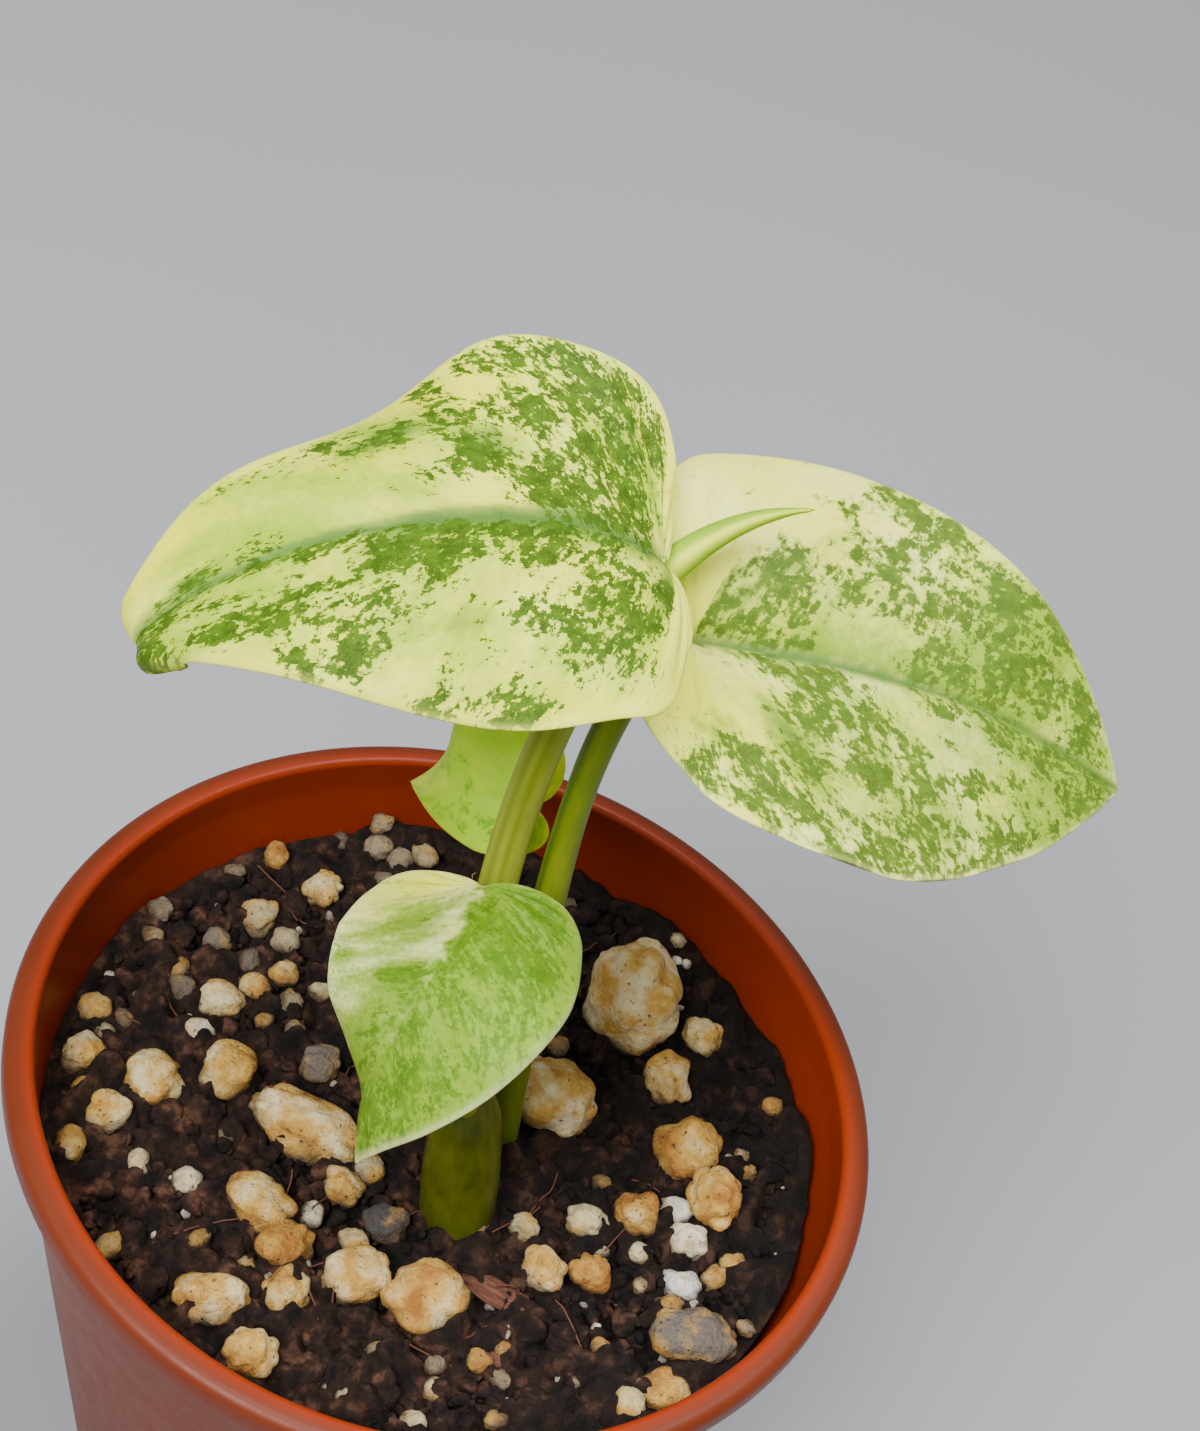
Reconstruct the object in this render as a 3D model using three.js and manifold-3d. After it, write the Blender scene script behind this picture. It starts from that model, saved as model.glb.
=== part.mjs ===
// A young snow-variegated monstera with four leaves and one rolled new leaf, in a 9 cm nursery pot.
// Millimetres, +Z up. The origin is the middle of the pot's underside, on the surface that it stands on.
// The big left leaf points along -X, the big right leaf along +X, and the small front leaf along -Y.

import * as THREE from 'three';
import { mergeVertices } from 'three/addons/utils/BufferGeometryUtils.js';
import Module from 'manifold-3d';

const wasm = await Module();
wasm.setup();

// Driving dimensions

const GAP = 0.35;

const POT = {
  height: 76,
  baseRadius: 30.3,
  wallTopRadius: 43.2,
  wall: 1.2,
  rimRadius: 45,
  rimInsideRadius: 41.9,
  rimHeight: 3.4,
  floor: 1.5,
  floorRise: 2.5,
  padRadius: 8,
  ringInsideRadius: 25,
  floorSlope: 2,
  drainRadius: 3,
  drainCircle: 16.5,
  drains: 6,
  segments: 48,
};

const SOIL = {
  level: 65.3,
  riseAlongX: 0.035,
  riseAlongY: -0.02,
  clodHeight: 0.55,
  rings: 11,
};

const BLADE = {
  halfThickness: 0.32,
  ribDepth: 0.8,
  fan: 0.5,
  veinSweep: 1.2,
  veinBow: { along: 0.45, across: 0.62 },
};

// Each blade hangs on its midrib, four control points from the leaf's base to its tip. face is the way
// the upper side looks, and twist turns the blade about the midrib, in degrees at the base and the tip.
// lift is the angle at which a half leaves the midrib and cup is its bend in degrees per 10 mm, both at
// four places from base to tip, on the left and the right half seen from above, looking to the tip.
// outline is half of the flat blade from the notch at its base round to its tip, along the midrib and
// across it, in parts of the blade's length.

const BLADES = {
  leaf_left: {
    midrib: [[3.5, 11.6, 138.2], [-2.6, 10.7, 144.3], [-25.2, 1.6, 142.7], [-38.2, -4.4, 125.2]],
    face: [0, 0, 1],
    twist: [16, 0],
    lift: { left: [7.5, 2, 3, 5], right: [9, 10, 20, 19.5] },
    cup: { left: [-21, -12.5, -22, -12], right: [12, 3, -26, 18.5] },
    tipRoll: { radius: 1.8, turn: 200 },
    outline: [[0, 0], [-0.025, 0.066], [-0.025, 0.17], [0.008, 0.285], [0.077, 0.38], [0.204, 0.418],
      [0.373, 0.428], [0.548, 0.352], [0.73, 0.222], [0.874, 0.088], [1, 0]],
    rows: 22,
    columns: 6,
    colour: 0xdfe79a,
  },
  leaf_right: {
    midrib: [[8.2, 16.4, 126.5], [31.3, 22, 127.5], [41.1, 26.6, 121.8], [55.1, 31.1, 113.1]],
    face: [0.08, -0.44, 0.89],
    twist: [-3, -4],
    lift: { left: [42, 10, 11, 8], right: [40, 19, 14, 6] },
    cup: { left: [-40, -15, -9, -12], right: [-10, -5, -7, -3] },
    tipRoll: { radius: 0, turn: 0 },
    outline: [[0, 0], [-0.08, 0.11], [-0.1, 0.25], [-0.035, 0.37], [0.04, 0.445], [0.17, 0.455],
      [0.36, 0.42], [0.55, 0.34], [0.75, 0.23], [0.905, 0.105], [1, 0]],
    rows: 22,
    columns: 6,
    colour: 0xe2e6b4,
  },
  leaf_front: {
    midrib: [[-2.6, -9, 113.1], [-3.8, -22.8, 113.2], [-7.6, -24.6, 106.6], [-5.4, -28.4, 94.5]],
    face: [-0.42, -0.62, 0.66],
    twist: [-1, 23],
    lift: { left: [-18, 1, -3, 2], right: [-9, -7, -4, -50] },
    cup: { left: [-43, -20, -18, -14], right: [10, -4, -3, -8] },
    tipRoll: { radius: 0, turn: 0 },
    outline: [[0, 0], [-0.045, 0.07], [-0.075, 0.18], [-0.065, 0.29], [0.01, 0.37], [0.165, 0.405],
      [0.36, 0.405], [0.56, 0.345], [0.76, 0.235], [0.91, 0.1], [1, 0]],
    rows: 16,
    columns: 5,
    colour: 0xaecb5c,
  },
  leaf_back: {
    midrib: [[-0.7, 7.5, 107.9], [-9, 6.5, 108], [-9.6, 8.6, 103.3], [-13.1, 14.5, 98.5]],
    face: [-0.19, -0.67, 0.72],
    twist: [-3, -3],
    lift: { left: [-13, -16, -22, -32], right: [5, 12, -7, -11] },
    cup: { left: [-6, -10, -4, -12], right: [-7, -4, -6, -13] },
    tipRoll: { radius: 0, turn: 0 },
    outline: [[0, 0], [-0.08, 0.07], [-0.115, 0.18], [-0.085, 0.3], [0.02, 0.395], [0.18, 0.435],
      [0.37, 0.41], [0.56, 0.33], [0.755, 0.205], [0.905, 0.085], [1, 0]],
    rows: 16,
    columns: 5,
    colour: 0xbfd24a,
  },
};

// Stalks follow four control points from root to top, with radii at even steps along them.

const STALKS = {
  stem: {
    route: [[7.3, -11, 46], [6.5, -10.3, 60], [4.2, -9.8, 72], [2.2, -7.6, 84]],
    radii: [1.6, 2.2, 2.5, 3, 3.8, 3.95, 3.85, 3.5, 2.2],
    sides: 12,
    colour: 0x55630f,
  },
  petiole_left: {
    route: [[2.2, -7.8, 80], [-2.2, -1, 100], [-4, 3, 124], [3.2, 11.2, 137.4]],
    radii: [2.1, 2.1, 2, 1.9, 1.85, 1.8, 1.8, 1.9, 1.4],
    sides: 10,
    colour: 0x9aa436,
  },
  petiole_right: {
    route: [[7.8, 1.5, 56], [5.2, -2, 95], [-1.2, 3.7, 126.5], [7.9, 15.9, 125.9]],
    radii: [1.3, 1.9, 1.8, 1.75, 1.7, 1.6, 1.45, 1.5, 1.2],
    sides: 10,
    colour: 0x6f8a12,
  },
  petiole_front: {
    route: [[2.4, -8.4, 78], [2.5, -12, 92], [-1, -10.3, 105], [-2.5, -8.8, 112.2]],
    radii: [1.5, 1.5, 1.4, 1.3, 1.2, 1.2, 1.3, 1],
    sides: 8,
    colour: 0x8fa22c,
  },
  petiole_back: {
    route: [[2, -6.8, 78], [-1, 0, 90], [-1.8, 4, 99], [-0.7, 7.6, 107.2]],
    radii: [1.3, 1.3, 1.2, 1.15, 1.1, 1.1, 1.2, 0.9],
    sides: 8,
    colour: 0x8fa22c,
  },
  new_leaf: {
    route: [[0.7, 7.8, 122], [0.5, 12.5, 133], [6, 19.5, 139], [14.7, 24.7, 139.1]],
    radii: [0.7, 1, 1.3, 1.7, 1.9, 1.9, 1.7, 1.35, 0.9, 0.35],
    sides: 9,
    colour: 0xa9cc2c,
  },
};

const ROOTS = { count: 7, top: 45.6, crown: 2, radius: 0.9, reach: 15, depth: 22, sides: 5 };

// Stones that lie in the soil's surface: place along x and y, width, breadth and turn in degrees.

const STONES = [
  [16.4, 22.4, 11, 13.4, 20], [11.3, 6.5, 9.2, 7.4, -25], [25.5, 21.9, 4.2, 4.2, 0],
  [22.9, 14.6, 4.6, 6, 10], [26.5, 6, 6.2, 7, -20], [30.4, 0, 5.2, 6.4, 15],
  [23, -4.2, 4.8, 4.4, 0], [28.6, -5.4, 4, 3.8, 30], [18.3, -6.7, 4.3, 3.7, 0],
  [15.2, -14.4, 4.2, 4.2, 0], [20.1, -13, 4, 3.6, 40], [29.2, -10.6, 3.9, 3.2, 0],
  [31.4, -16.9, 8.2, 5.6, 15], [29.8, -23.2, 5.6, 3.8, 20], [-20.4, 25.6, 4.1, 4.1, 0],
  [-25.9, 19.2, 4.2, 4.2, 25], [-25.8, 6.6, 4.3, 4, 0], [-36.4, -6.1, 3.9, 3.9, 0],
  [-29, -6, 6.4, 6, 35], [-22.2, -2.2, 5.6, 6.2, 0], [-31.7, -11.8, 4.1, 4.1, 50],
  [-12, -5.8, 12, 6, -8], [-13.4, 1.8, 4, 4, 0], [-14, -16.7, 7, 5, -20],
  [-6.6, -11.6, 3.9, 3.7, 0], [-9.9, -20.4, 5, 4.8, 30], [-1.2, -14.5, 4, 4, 0],
  [-8.4, -26, 4, 4.9, 10], [-2.4, -21.6, 6.6, 5.2, 25], [5, -21.7, 7.4, 7, -30],
  [-14.8, -29, 6.6, 5.2, 15], [-9.6, -33.6, 5, 4.6, 0],
];
const STONE_RISE = 0.16;
const STONE_HEIGHT = 0.84;

// Bark chips: place along x and y, length, width, thickness and turn in degrees.

const CHIPS = [[10.2, -17.6, 9.5, 3.2, 1.7, -14], [12.4, -26, 5, 2.4, 1.4, 30]];

const COLOURS = {
  pot: 0xb4502c,
  soil: 0x2a1c16,
  roots: 0xcdb98f,
  stones: [0xdcc79a, 0xe6dcc4, 0xc9a566, 0xd2c4a4],
  bark: 0x5d3626,
};

// Solids and meshes

const radians = THREE.MathUtils.degToRad;
const vector = (list) => new THREE.Vector3(...list);

function bare(geometry) {
  const copy = geometry.clone();
  copy.deleteAttribute('normal');
  copy.deleteAttribute('uv');
  const merged = mergeVertices(copy, 1e-4);
  const index = Array.from(merged.index.array);
  const kept = [];
  for (let i = 0; i < index.length; i += 3) {
    const [a, b, c] = index.slice(i, i + 3);
    if (a !== b && b !== c && c !== a) {
      kept.push(a, b, c);
    }
  }
  merged.setIndex(kept);
  return merged;
}

function signedVolume(geometry) {
  const { array } = geometry.attributes.position;
  const index = geometry.index.array;
  const corner = (i) => new THREE.Vector3().fromArray(array, 3 * index[i]);
  let volume = 0;
  for (let i = 0; i < index.length; i += 3) {
    volume += corner(i).dot(corner(i + 1).cross(corner(i + 2))) / 6;
  }
  return volume;
}

function facingOut(geometry) {
  const clean = bare(geometry);
  if (signedVolume(clean) < 0) {
    clean.setIndex(Array.from(clean.index.array).reverse());
  }
  return clean;
}

function toSolid(geometry) {
  const clean = facingOut(geometry);
  return new wasm.Manifold(new wasm.Mesh({
    numProp: 3,
    vertProperties: Float32Array.from(clean.attributes.position.array),
    triVerts: Uint32Array.from(clean.index.array),
  }));
}

function toGeometry(solid) {
  const mesh = solid.getMesh();
  const geometry = new THREE.BufferGeometry();
  geometry.setAttribute('position', new THREE.BufferAttribute(mesh.vertProperties, 3));
  geometry.setIndex(Array.from(mesh.triVerts));
  return geometry;
}

function cutBy(geometry, ...cutters) {
  let solid = toSolid(geometry);
  for (const cutter of cutters) {
    solid = solid.subtract(toSolid(cutter));
  }
  return toGeometry(solid);
}

function named(name, geometry, colour, roughness) {
  const finished = geometry.clone();
  finished.computeVertexNormals();
  const material = new THREE.MeshStandardMaterial({ color: colour, roughness, metalness: 0 });
  const mesh = new THREE.Mesh(finished, material);
  mesh.name = name;
  return mesh;
}

// A smooth row of values or points: t runs from 0 at the first to 1 at the last.

const smooth = (points) => new THREE.SplineCurve(points.map((p) => new THREE.Vector2(...p)));

function valueAt(keys, t) {
  const curve = smooth(keys.map((key, i) => [i, key]));
  return curve.getPoint(THREE.MathUtils.clamp(t, 0, 1)).y;
}

// Pot

const wallOutside = (z) => {
  const wallTop = POT.height - POT.rimHeight;
  return POT.baseRadius + (POT.wallTopRadius - POT.baseRadius) * z / wallTop;
};
const wallInside = (z) => wallOutside(z) - POT.wall;

// The floor's underside is a pad and a foot ring with a raised ring between them, and its upper side
// follows at the floor's thickness.

function floorLine(raise, wallRadius) {
  const low = raise;
  const high = raise + POT.floorRise;
  return [
    [0, low], [POT.padRadius, low], [POT.padRadius + POT.floorSlope, high],
    [POT.ringInsideRadius - POT.floorSlope, high], [POT.ringInsideRadius, low], [wallRadius, low],
  ];
}

function pot() {
  const top = POT.height;
  const under = top - POT.rimHeight;
  const outside = [
    ...floorLine(0, POT.baseRadius - 0.4),
    [POT.baseRadius, 0.5],
    [wallOutside(under), under],
    [POT.rimRadius - 0.5, under + 0.1],
    [POT.rimRadius, under + 0.7],
    [POT.rimRadius, top - 1],
    [POT.rimRadius - 0.5, top - 0.25],
    [POT.rimRadius - 1.3, top],
    [POT.rimInsideRadius + 0.8, top],
    [POT.rimInsideRadius + 0.1, top - 0.4],
    [wallInside(under), under - 1],
  ];
  const inside = floorLine(POT.floor, wallInside(POT.floor)).reverse();
  const profile = [...outside, ...inside].map((p) => new THREE.Vector2(...p));
  const shell = new THREE.LatheGeometry(profile, POT.segments).rotateX(Math.PI / 2);
  const drains = Array.from({ length: POT.drains }, (_, i) => {
    const angle = (i + 0.5) * 2 * Math.PI / POT.drains;
    const drain = new THREE.CylinderGeometry(POT.drainRadius, POT.drainRadius, 4 * POT.floorRise, 12);
    drain.rotateX(Math.PI / 2);
    return drain.translate(POT.drainCircle * Math.cos(angle), POT.drainCircle * Math.sin(angle), POT.floorRise);
  });
  return cutBy(shell, ...drains);
}

// Soil

function clods(x, y) {
  const broad = Math.sin(0.42 * x + 0.9) * Math.cos(0.37 * y - 0.4);
  const middle = Math.sin(0.71 * x - 0.55 * y + 2.1) * Math.cos(0.66 * y + 0.31 * x);
  const fine = Math.sin(1.3 * x + 0.7 * y) * Math.sin(1.15 * y - 0.6 * x + 1.2);
  return SOIL.clodHeight * (broad + 0.8 * middle + 0.6 * fine);
}

function soilTop(x, y) {
  return SOIL.level + SOIL.riseAlongX * x + SOIL.riseAlongY * y + clods(x, y);
}

function soilBody() {
  const bottom = POT.floor + GAP;
  const rings = Array.from({ length: SOIL.rings + 1 }, (_, i) => i / SOIL.rings);
  const crust = rings.map((part) => [part * wallInside(SOIL.level), SOIL.level]);
  const floorPoints = floorLine(bottom, wallInside(bottom) - GAP).reverse();
  const profile = [...crust, ...floorPoints].map((p) => new THREE.Vector2(...p));
  const body = new THREE.LatheGeometry(profile, POT.segments).rotateX(Math.PI / 2);
  const place = body.attributes.position;
  for (let i = 0; i < place.count; i += 1) {
    if (place.getZ(i) > SOIL.level - 1) {
      const x = place.getX(i);
      const y = place.getY(i);
      const z = soilTop(x, y);
      const shrink = (wallInside(z) - GAP) / wallInside(SOIL.level);
      place.setXYZ(i, x * shrink, y * shrink, z);
    }
  }
  return body;
}

// Stalks: a lathe of the radii, bent along the route.

function stalk({ route, radii, sides }, extra = 0) {
  const curve = new THREE.CubicBezierCurve3(...route.map(vector));
  const steps = 2 * (radii.length - 1);
  const frames = curve.computeFrenetFrames(steps);
  const profile = [new THREE.Vector2(0, 0)];
  for (let i = 0; i <= steps; i += 1) {
    profile.push(new THREE.Vector2(valueAt(radii, i / steps) + extra, i));
  }
  profile.push(new THREE.Vector2(0, steps));
  const body = new THREE.LatheGeometry(profile, sides);
  const place = body.attributes.position;
  for (let i = 0; i < place.count; i += 1) {
    const step = Math.round(place.getY(i));
    const point = curve.getPointAt(step / steps);
    point.addScaledVector(frames.normals[step], place.getX(i));
    point.addScaledVector(frames.binormals[step], place.getZ(i));
    if (place.getX(i) === 0 && place.getZ(i) === 0) {
      point.addScaledVector(frames.tangents[step], step === 0 ? -extra : extra);
    }
    place.setXYZ(i, point.x, point.y, point.z);
  }
  return body;
}

// Roots: a crown under the stem with thin roots that run out and down in the soil.

function roots(extra = 0) {
  const [x, y] = STALKS.stem.route[0];
  const crown = new THREE.IcosahedronGeometry(ROOTS.crown + extra, 1);
  let solid = toSolid(crown.translate(x, y, ROOTS.top - ROOTS.crown));
  for (let i = 0; i < ROOTS.count; i += 1) {
    const angle = 2 * Math.PI * i / ROOTS.count + 0.3;
    const reach = ROOTS.reach * (0.7 + 0.3 * Math.cos(3.7 * i));
    const depth = ROOTS.depth * (0.8 + 0.2 * Math.sin(2.3 * i));
    const out = (share, drop) => [
      x + share * reach * Math.cos(angle), y + share * reach * Math.sin(angle), ROOTS.top - ROOTS.crown - drop,
    ];
    const route = [out(0, 0), out(0.6, 1), out(1, 0.4 * depth), out(0.8, depth)];
    const radii = [ROOTS.radius, ROOTS.radius, 0.8 * ROOTS.radius, 0.5 * ROOTS.radius];
    solid = solid.add(toSolid(stalk({ route, radii, sides: ROOTS.sides }, extra)));
  }
  return toGeometry(solid);
}

// Blades

function bladeSurface(blade) {
  const midrib = new THREE.CubicBezierCurve3(...blade.midrib.map(vector));
  const straight = midrib.getLength();
  const { radius, turn } = blade.tipRoll;
  const length = straight + radius * radians(turn);
  const face = vector(blade.face).normalize();
  return (half, along, across) => {
    const distance = along * length;
    const t = THREE.MathUtils.clamp(distance / straight, 0, 1);
    const point = midrib.getPoint(t);
    let forward = midrib.getTangent(t);
    const side = face.clone().cross(forward).normalize();
    const twist = radians(THREE.MathUtils.lerp(...blade.twist, along));
    side.applyAxisAngle(forward, twist);
    let up = forward.clone().cross(side).normalize();
    if (radius > 0 && distance > straight) {
      const angle = (distance - straight) / radius;
      point.addScaledVector(forward, radius * Math.sin(angle));
      point.addScaledVector(up, -radius * (1 - Math.cos(angle)));
      up.applyAxisAngle(side, angle);
      forward.applyAxisAngle(side, angle);
    }
    point.addScaledVector(forward, Math.min(distance, 0));
    const key = half > 0 ? 'left' : 'right';
    const start = radians(valueAt(blade.lift[key], along));
    const bend = radians(valueAt(blade.cup[key], along)) / 10;
    const end = start + bend * across * length;
    const out = Math.abs(bend) < 1e-5 ? across * length * Math.cos(start) : (Math.sin(end) - Math.sin(start)) / bend;
    const rise = Math.abs(bend) < 1e-5 ? across * length * Math.sin(start) : (Math.cos(start) - Math.cos(end)) / bend;
    return point.addScaledVector(side, half * out).addScaledVector(up, rise);
  };
}

// A vein leaves the midrib, or the leaf's base for the lobes, and sweeps forward to the margin.

function veinPoint(outline, row, part) {
  const margin = outline.getPoint(row);
  const root = Math.pow(Math.max(0, (row - BLADE.fan) / (1 - BLADE.fan)), BLADE.veinSweep);
  const bowAlong = root + (margin.x - root) * BLADE.veinBow.along;
  const bowAcross = margin.y * BLADE.veinBow.across;
  const rest = 1 - part;
  return [
    rest * rest * root + 2 * rest * part * bowAlong + part * part * margin.x,
    2 * rest * part * bowAcross + part * part * margin.y,
  ];
}

function bladeSheet(blade) {
  const surface = bladeSurface(blade);
  const outline = smooth(blade.outline);
  const places = [];
  const ribs = [];
  const index = [];
  for (const half of [1, -1]) {
    const first = ribs.length;
    for (let row = 0; row <= blade.rows; row += 1) {
      for (let column = 0; column <= blade.columns; column += 1) {
        const [along, across] = veinPoint(outline, row / blade.rows, column / blade.columns);
        places.push(...surface(half, along, across).toArray());
        const onMidrib = column === 0 || row === 0 || row === blade.rows;
        ribs.push(onMidrib ? BLADE.ribDepth * (1 - 0.8 * Math.max(along, 0)) : 0);
      }
    }
    for (let row = 0; row < blade.rows; row += 1) {
      for (let column = 0; column < blade.columns; column += 1) {
        const a = first + row * (blade.columns + 1) + column;
        const b = a + 1;
        const c = a + blade.columns + 1;
        const d = c + 1;
        index.push(...(half > 0 ? [a, b, d, a, d, c] : [a, d, b, a, c, d]));
      }
    }
  }
  const sheet = new THREE.BufferGeometry();
  sheet.setAttribute('position', new THREE.Float32BufferAttribute(places, 3));
  sheet.setAttribute('rib', new THREE.Float32BufferAttribute(ribs, 1));
  sheet.setIndex(index);
  const merged = bare(sheet);
  merged.computeVertexNormals();
  return merged;
}

// The sheet gets an upper and a lower face with the same triangles, and a rim where an edge is free.

function thicken(sheet, halfThickness) {
  const place = sheet.attributes.position;
  const normal = sheet.attributes.normal;
  const rib = sheet.attributes.rib;
  const count = place.count;
  const corner = (i, offset) => new THREE.Vector3().fromBufferAttribute(place, i)
    .addScaledVector(new THREE.Vector3().fromBufferAttribute(normal, i), offset).toArray();
  const places = [];
  for (let i = 0; i < count; i += 1) {
    places.push(...corner(i, halfThickness));
  }
  for (let i = 0; i < count; i += 1) {
    places.push(...corner(i, -halfThickness - rib.getX(i)));
  }
  const faces = Array.from(sheet.index.array);
  const index = [...faces];
  const edges = new Set();
  for (let i = 0; i < faces.length; i += 3) {
    const [a, b, c] = faces.slice(i, i + 3);
    index.push(a + count, c + count, b + count);
    [[a, b], [b, c], [c, a]].forEach(([from, to]) => edges.add(`${from}_${to}`));
  }
  for (const edge of edges) {
    const [from, to] = edge.split('_').map(Number);
    if (!edges.has(`${to}_${from}`)) {
      index.push(to, from, from + count, to, from + count, to + count);
    }
  }
  const body = new THREE.BufferGeometry();
  body.setAttribute('position', new THREE.Float32BufferAttribute(places, 3));
  body.setIndex(index);
  return body;
}

// Stones and chips: a rounded solid with a few broad dents.

function lump(geometry, seed) {
  const place = geometry.attributes.position;
  const point = new THREE.Vector3();
  for (let i = 0; i < place.count; i += 1) {
    point.fromBufferAttribute(place, i);
    const dent = Math.sin(2.7 * point.x + 1.9 * point.y + 1.7 * seed) * Math.cos(2.3 * point.z - 2.9 * seed);
    point.multiplyScalar(1 + 0.14 * dent);
    place.setXYZ(i, point.x, point.y, point.z);
  }
  return geometry;
}

function stone([x, y, width, breadth, turn], seed, extra = 0) {
  const height = STONE_HEIGHT * Math.min(width, breadth);
  const body = lump(new THREE.IcosahedronGeometry(0.5, 1).scale(2, 2, 2), seed).scale(0.5, 0.5, 0.5);
  body.scale(width + 2 * extra, breadth + 2 * extra, height + 2 * extra);
  body.rotateZ(radians(turn));
  return body.translate(x, y, soilTop(x, y) + STONE_RISE * height);
}

function chip([x, y, length, width, thickness, turn], extra = 0) {
  const body = new THREE.CylinderGeometry(0.5, 0.42, 1, 7).rotateX(Math.PI / 2);
  body.scale(length + 2 * extra, width + 2 * extra, thickness + 2 * extra);
  body.rotateZ(radians(turn));
  return body.translate(x, y, soilTop(x, y) + 0.3 * thickness);
}

// The whole plant

const plant = new THREE.Group();

const stem = stalk(STALKS.stem);
const stemRoom = stalk(STALKS.stem, GAP);
const sheets = Object.fromEntries(Object.entries(BLADES).map(([name, blade]) => [name, bladeSheet(blade)]));
const bladeRoom = (name) => thicken(sheets[name], BLADE.halfThickness + GAP);

plant.add(named('pot', pot(), COLOURS.pot, 0.45));
plant.add(named('stem', facingOut(stem), STALKS.stem.colour, 0.45));
plant.add(named('roots', roots(), COLOURS.roots, 0.8));

for (const [name, blade] of Object.entries(BLADES)) {
  const body = facingOut(thicken(sheets[name], BLADE.halfThickness));
  plant.add(named(name, body, blade.colour, 0.4));
}

const sheathRoom = stalk(STALKS.petiole_left, GAP);
for (const where of ['left', 'right', 'front', 'back']) {
  const name = `petiole_${where}`;
  const cutters = [stemRoom, bladeRoom(`leaf_${where}`)];
  if (where === 'front' || where === 'back') {
    cutters.push(sheathRoom);
  }
  plant.add(named(name, cutBy(stalk(STALKS[name]), ...cutters), STALKS[name].colour, 0.45));
}

const rolled = cutBy(stalk(STALKS.new_leaf), sheathRoom, bladeRoom('leaf_left'));
plant.add(named('new_leaf', rolled, STALKS.new_leaf.colour, 0.4));

const pockets = [
  ...STONES.map((spec, i) => stone(spec, i, GAP + 0.1)),
  ...CHIPS.map((spec) => chip(spec, GAP)),
];
const holes = [stemRoom, stalk(STALKS.petiole_right, GAP), roots(GAP)];
plant.add(named('soil', cutBy(soilBody(), ...holes, ...pockets), COLOURS.soil, 0.95));

STONES.forEach((spec, i) => {
  const name = `stone_${String(i + 1).padStart(2, '0')}`;
  const colour = COLOURS.stones[i % COLOURS.stones.length];
  plant.add(named(name, facingOut(stone(spec, i)), colour, 0.8));
});

CHIPS.forEach((spec, i) => {
  plant.add(named(`bark_chip_${i + 1}`, facingOut(chip(spec)), COLOURS.bark, 0.85));
});

export default plant;
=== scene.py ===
"""A young snow-variegated monstera in a red-brown nursery pot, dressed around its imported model.

Sizes in the tables are millimetres, as they were measured, and MM turns them into metres.
"""

import math

import bmesh
import bpy
import numpy as np
from mathutils import Matrix, Vector


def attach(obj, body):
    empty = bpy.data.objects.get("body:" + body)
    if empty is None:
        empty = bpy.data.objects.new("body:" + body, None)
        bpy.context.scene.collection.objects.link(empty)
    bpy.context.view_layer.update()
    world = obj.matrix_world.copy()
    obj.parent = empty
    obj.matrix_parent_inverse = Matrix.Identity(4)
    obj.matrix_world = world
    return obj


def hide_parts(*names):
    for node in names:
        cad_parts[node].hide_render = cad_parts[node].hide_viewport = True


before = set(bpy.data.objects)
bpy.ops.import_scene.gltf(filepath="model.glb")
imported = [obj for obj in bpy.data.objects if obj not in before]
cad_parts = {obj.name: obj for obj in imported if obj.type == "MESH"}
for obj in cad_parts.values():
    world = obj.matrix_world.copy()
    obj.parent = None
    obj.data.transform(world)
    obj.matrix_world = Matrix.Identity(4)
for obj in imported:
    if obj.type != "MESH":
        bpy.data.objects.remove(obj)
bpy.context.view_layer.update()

MM = 0.001
TAU = 2 * math.pi


# Camera, as it was worked out from the two ellipses of the pot's rim

CAMERA_PLACE = (0.0, -0.159547, 0.280324)
CAMERA_RIGHT = (0.947193, 0.212703, 0.239965)
CAMERA_UP = (-0.320472, 0.653831, 0.685422)
CAMERA_FORWARD = (0.011106, 0.726129, -0.687469)
PHOTO_HEIGHT = 1431
FOCAL_PIXELS = 2500

camera = bpy.data.objects.new("camera", bpy.data.cameras.new("camera"))
bpy.context.scene.collection.objects.link(camera)
camera.data.sensor_width = 36
camera.data.lens = 36 * FOCAL_PIXELS / PHOTO_HEIGHT
camera.data.clip_start = 0.01
turn = Matrix((CAMERA_RIGHT, CAMERA_UP, [-v for v in CAMERA_FORWARD])).transposed()
camera.matrix_world = Matrix.Translation(CAMERA_PLACE) @ turn.to_4x4()
bpy.context.scene.camera = camera


# Colours and materials

def srgb(colour):
    """A hex colour as the linear one that a shader takes."""
    parts = [int(colour[i:i + 2], 16) / 255 for i in (1, 3, 5)]
    return [p / 12.92 if p <= 0.04045 else ((p + 0.055) / 1.055) ** 2.4 for p in parts] + [1]


def fill(tree, node, inputs):
    """Gives each of a node's inputs a value or a link."""
    for name, value in inputs.items():
        if isinstance(value, bpy.types.NodeSocket):
            tree.links.new(value, node.inputs[name])
        else:
            node.inputs[name].default_value = value


def add(tree, kind, inputs=None, stops=None, **settings):
    """Adds a node with its settings, the stops of its colours, and its values and links."""
    node = tree.nodes.new(kind)
    for name, value in settings.items():
        setattr(node, name, value)
    if stops:
        while len(node.color_ramp.elements) < len(stops):
            node.color_ramp.elements.new(1)
        for element, (place, colour) in zip(node.color_ramp.elements, stops):
            element.position = place
            element.color = srgb(colour)
    fill(tree, node, inputs or {})
    return node


def material(name):
    """A new material and its node tree."""
    made = bpy.data.materials.new(name)
    made.use_nodes = True
    return made, made.node_tree


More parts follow.
